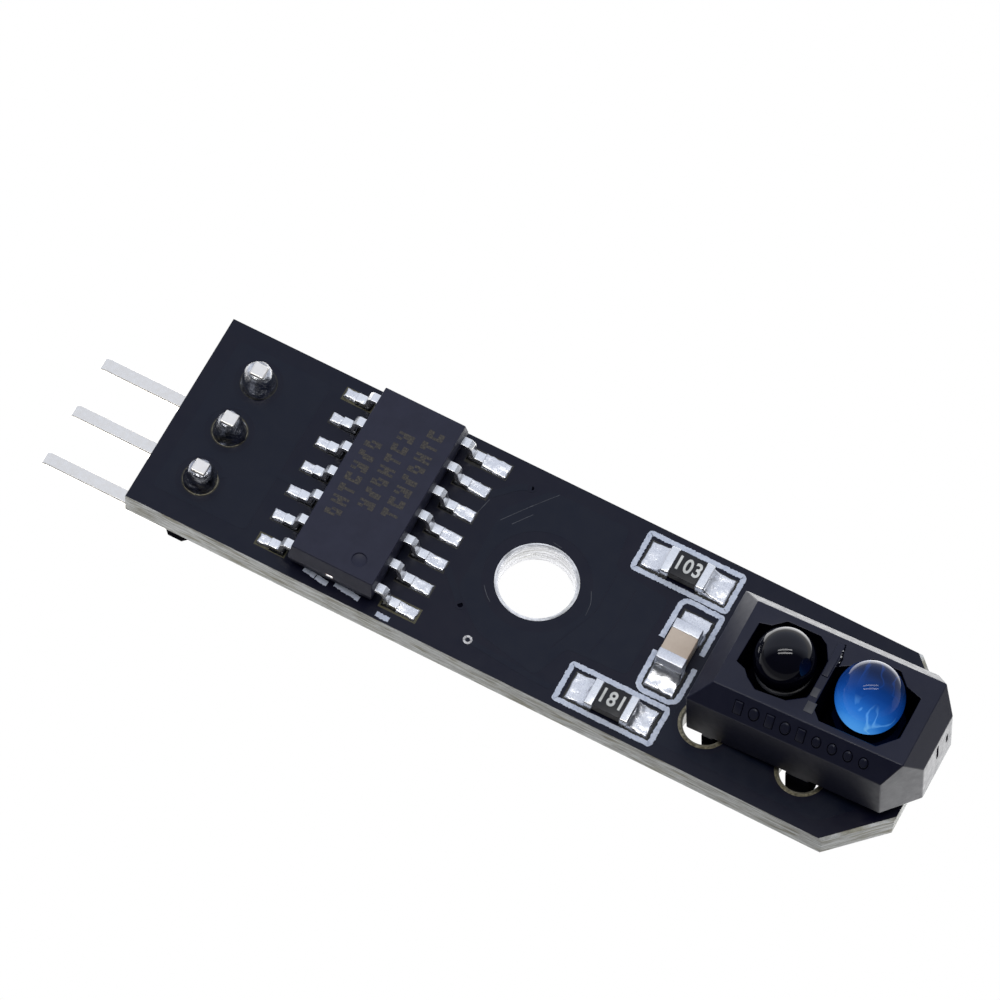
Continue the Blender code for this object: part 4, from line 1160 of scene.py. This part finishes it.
def make_end_notches():
    """Two narrow notches in the housing's outer end, drawn as flat strips of painted shade."""
    end = HOUSING_LENGTH / 2
    for index, (y, low, high) in enumerate(((-0.05, 1.35, 2.3), (0.85, 1.2, 1.75)), 1):
        notch = block((end - 0.05, y - 0.09, low), (end + 0.004, y + 0.09, high), 0.003, 1)
        add_housing_piece(f"end_notch_{index}", notch, RIB_SHADE)


def lens_profile(radius, rise):
    """Oval dome that narrows again below, on a round neck, from the crown down."""
    points = []
    steps = 44
    for step in range(steps + 1):
        angle = math.radians(90 - (90 + LENS_NECK_ANGLE) * step / steps)
        points.append((radius * math.cos(angle), LENS_CENTRE_HEIGHT + rise * math.sin(angle)))
    points[0] = (0.0, LENS_CENTRE_HEIGHT + rise)
    return points + [(points[-1][0], LENS_BASE_TOP - 0.1), (0.0, LENS_BASE_TOP - 0.1)]


def make_lens(name, node, x, radius, rise, material, base_material, slot):
    """A dome with painted shade below its widest part, and its clipped square base in the well, also in
    painted shade.
    """
    lens = turned(lens_profile(radius, rise), 96)
    lens.transform(Matrix.Translation((x, LENS_Y, 0)))
    dome = add_piece(name, lens, material, slot, node, place=SENSOR_FRAME, sharp=50)
    dome.data.materials.append(base_material)
    back = SENSOR_FRAME.inverted()
    for face in dome.data.polygons:
        if (back @ face.center).z < LENS_CENTRE_HEIGHT - 0.5 * rise:
            face.material_index = 1
    wide, deep = 1.44, 1.49
    corners = [(x - wide, LENS_Y - 0.6), (x - 0.55, LENS_Y - deep), (x + 0.55, LENS_Y - deep),
               (x + wide, LENS_Y - 0.6), (x + wide, LENS_Y + 0.5), (x + 0.45, LENS_Y + deep),
               (x - 0.45, LENS_Y + deep), (x - wide, LENS_Y + 0.5)]
    base = plate([round_corners(corners, 0.1)], LENS_UNDER, LENS_BASE_TOP)
    add_piece(f"{name}_base", base, base_material, slot, place=SENSOR_FRAME)


def make_collar():
    """A rounded collar round the black dome's foot."""
    collar = turned([(0.0, 3.00), (1.13, 3.00), (1.21, 2.95), (1.24, 2.87), (1.20, 2.78),
                     (0.0, 2.76)], 72)
    collar.transform(Matrix.Translation((DETECTOR_X, LENS_Y, 0)))
    add_piece("black_dome_collar", collar, DARK_COLLAR, "black_lens", place=SENSOR_FRAME)


def make_sensor_leads():
    """The four leads, and their solder joints under the board."""
    for node in ("emitter_anode_lead", "emitter_cathode_lead", "detector_collector_lead",
                 "detector_emitter_lead"):
        refined(node, TINNED_PIN, "tinned_pin", 0.03)
    for index, (x, y) in enumerate(SENSOR_PLACES, 1):
        cone = solder_cone(0.84, 0.36, 0.68, 1.8, seed=20 + index)
        cone.transform(Matrix.Rotation(math.pi, 4, "X"))
        cone.transform(Matrix.Translation((x, y, BOARD_UNDER - 0.012)))
        add_piece(f"sensor_joint_{index}", cone, BRIGHT_SOLDER, "solder",
                  f"sensor_solder_{index}", sharp=60)


def make_sensor():
    """Housing with its details, the two domes, and the leads."""
    make_housing()
    make_peg_faces()
    make_ribs()
    make_divider_marks()
    make_end_notches()
    make_lens("blue_dome", "emitter_lens", EMITTER_X, EMITTER_RADIUS, EMITTER_RISE,
              BLUE_RESIN, BLUE_BASE, "blue_lens")
    make_lens("black_dome", "detector_lens", DETECTOR_X, DETECTOR_RADIUS, DETECTOR_RISE,
              DARK_RESIN, DARK_BASE, "black_lens")
    make_collar()
    make_sensor_leads()


# ------------------------------ kept CAD nodes

def paint_kept_nodes():
    """Inner CAD nodes keep their own shape and get a finish."""
    finishes = {"chip_die": SILICON, "chip_die_paddle": COPPER, "emitter_die": SILICON,
                "detector_die": SILICON}
    for node, finish in finishes.items():
        NODES[node].data.materials.clear()
        NODES[node].data.materials.append(finish)


# ------------------------------ floor, lights, camera

FLOOR_GLOW = (0.35, 2.45)        # in front of the board, and behind it
GLOW_EDGE = (-12 * MM, -3 * MM)  # where the one turns into the other
FAR_GLOW = 0.26                  # how much of the glow is left far away
FAR_EDGE = (26 * MM, 40 * MM)    # how far away it fades
ROOM_LIGHT = (0.06, 0.82)        # towards the front and right, towards the back and left
ROOM_EDGE = (-0.25, 0.33)        # where the one turns into the other


def make_floor():
    """A pale table, plain white to the eye; its glow is stronger behind and fades far away."""
    shape = bmesh.new()
    bmesh.ops.create_grid(shape, x_segments=1, y_segments=1, size=1.5)
    floor = in_scene("floor", as_mesh(shape))
    floor.location.z = -0.1 * MM
    table = Finish("pale_table", roughness=0.9)
    table.shader.inputs["Base Color"].default_value = (0.15, 0.15, 0.15, 1)
    table.shader.inputs["Emission Color"].default_value = (1, 1, 1, 1)
    reach = table.add("VectorMath", operation="LENGTH")
    table.links.new(table.place, reach.inputs[0])
    strength = table.add("Math", operation="MULTIPLY")
    glow = table.spread(table.dot(table.place, (-0.1, 1.0, 0.0)), *FLOOR_GLOW, *GLOW_EDGE)
    fade = table.spread(reach.outputs["Value"], 1.0, FAR_GLOW, *FAR_EDGE)
    for socket, source in zip(strength.inputs, (glow, fade)):
        table.links.new(source, socket)
    table.links.new(strength.outputs["Value"], table.shader.inputs["Emission Strength"])
    to_eye = table.blend(table.add("LightPath").outputs["Is Camera Ray"],
                         table.shader.outputs["BSDF"], table.add("Emission").outputs["Emission"])
    one_sided = table.blend(table.add("NewGeometry").outputs["Backfacing"], to_eye,
                            table.add("BsdfTransparent").outputs["BSDF"])
    table.links.new(one_sided, table.nodes["Material Output"].inputs["Surface"])
    floor.data.materials.append(table.material)


def make_world():
    """Studio room: dim in front and to the right, paler behind; the backdrop is white."""
    world = bpy.data.worlds.new("studio")
    bpy.context.scene.world = world
    studio = Network(world)
    room = studio.nodes["Background"]
    room.inputs["Color"].default_value = (0.80, 0.86, 1.0, 1)
    toward = studio.dot(studio.add("TexCoord").outputs["Generated"], (-0.45, 1.0, 0.0))
    studio.links.new(studio.spread(toward, *ROOM_LIGHT, *ROOM_EDGE), room.inputs["Strength"])
    backdrop = studio.add("Background", Color=(1, 1, 1, 1))
    seen = studio.blend(studio.add("LightPath").outputs["Is Camera Ray"],
                        room.outputs["Background"], backdrop.outputs["Background"])
    studio.links.new(seen, studio.nodes["World Output"].inputs["Surface"])


CAMERA_AIM = Vector((-1.287, 2.588, 5.77))
CAMERA_DISTANCE = 269.17
CAMERA_AZIMUTH = math.radians(21.68)
CAMERA_ELEVATION = math.radians(64.01)
CAMERA_ROLL = math.radians(6.41)
CAMERA_SENSOR = 36
CAMERA_LENS = 234
LAMP_AIM = Vector((0, 0, 5))
LAMP_DISTANCE = 400
LAMP_SIZE = (430, 34)
LAMP_POWER = 0.38
LAMP_TURNS = (11, 24)            # degrees up from the camera's line of sight


def camera_axes():
    """Right, up and back directions of the camera."""
    back = Vector((math.sin(CAMERA_AZIMUTH) * math.cos(CAMERA_ELEVATION),
                   -math.cos(CAMERA_AZIMUTH) * math.cos(CAMERA_ELEVATION),
                   math.sin(CAMERA_ELEVATION)))
    level = Vector((math.cos(CAMERA_AZIMUTH), math.sin(CAMERA_AZIMUTH), 0))
    above = back.cross(level)
    right = level * math.cos(CAMERA_ROLL) + above * math.sin(CAMERA_ROLL)
    return right, back.cross(right), back


def add_camera():
    """A long lens, turned towards the middle of the module."""
    right, up, back = camera_axes()
    data = bpy.data.cameras.new("camera")
    data.sensor_width = CAMERA_SENSOR
    data.lens = CAMERA_LENS
    data.clip_start = 0.02
    data.clip_end = 5
    camera = in_scene("camera", data)
    camera.matrix_world = (Matrix.Translation((CAMERA_AIM + back * CAMERA_DISTANCE) * MM)
                           @ axes_matrix(right, up, back))
    bpy.context.scene.camera = camera


def add_lights():
    """Two long strip lamps overhead, a little behind the camera's line of sight."""
    right, up, back = camera_axes()
    for index, offset in enumerate(LAMP_TURNS, 1):
        direction = (back + up * math.tan(math.radians(offset))).normalized()
        across = (right - direction * right.dot(direction)).normalized()
        data = bpy.data.lights.new(f"strip_lamp_{index}", "AREA")
        data.shape = "RECTANGLE"
        data.size = LAMP_SIZE[0] * MM
        data.size_y = LAMP_SIZE[1] * MM
        data.energy = LAMP_POWER
        lamp = in_scene(data.name, data)
        lamp.matrix_world = (Matrix.Translation((LAMP_AIM + direction * LAMP_DISTANCE) * MM)
                             @ axes_matrix(across, direction.cross(across), direction))


make_board()
make_copper_relief()
make_wear()
make_traces()
make_vias()
make_hole_pads()
make_header()
make_chip_body()
make_tie_bar_end()
make_chip_marks()
make_chip_leads()
make_resistor(1, "103", RESISTOR_1_PADS)
make_resistor(2, "181", RESISTOR_2_PADS)
make_capacitor(CAPACITOR_PADS)
make_legend()
make_sensor()
paint_kept_nodes()
make_floor()
make_world()
add_lights()
add_camera()
bpy.context.scene.view_settings.view_transform = "Standard"
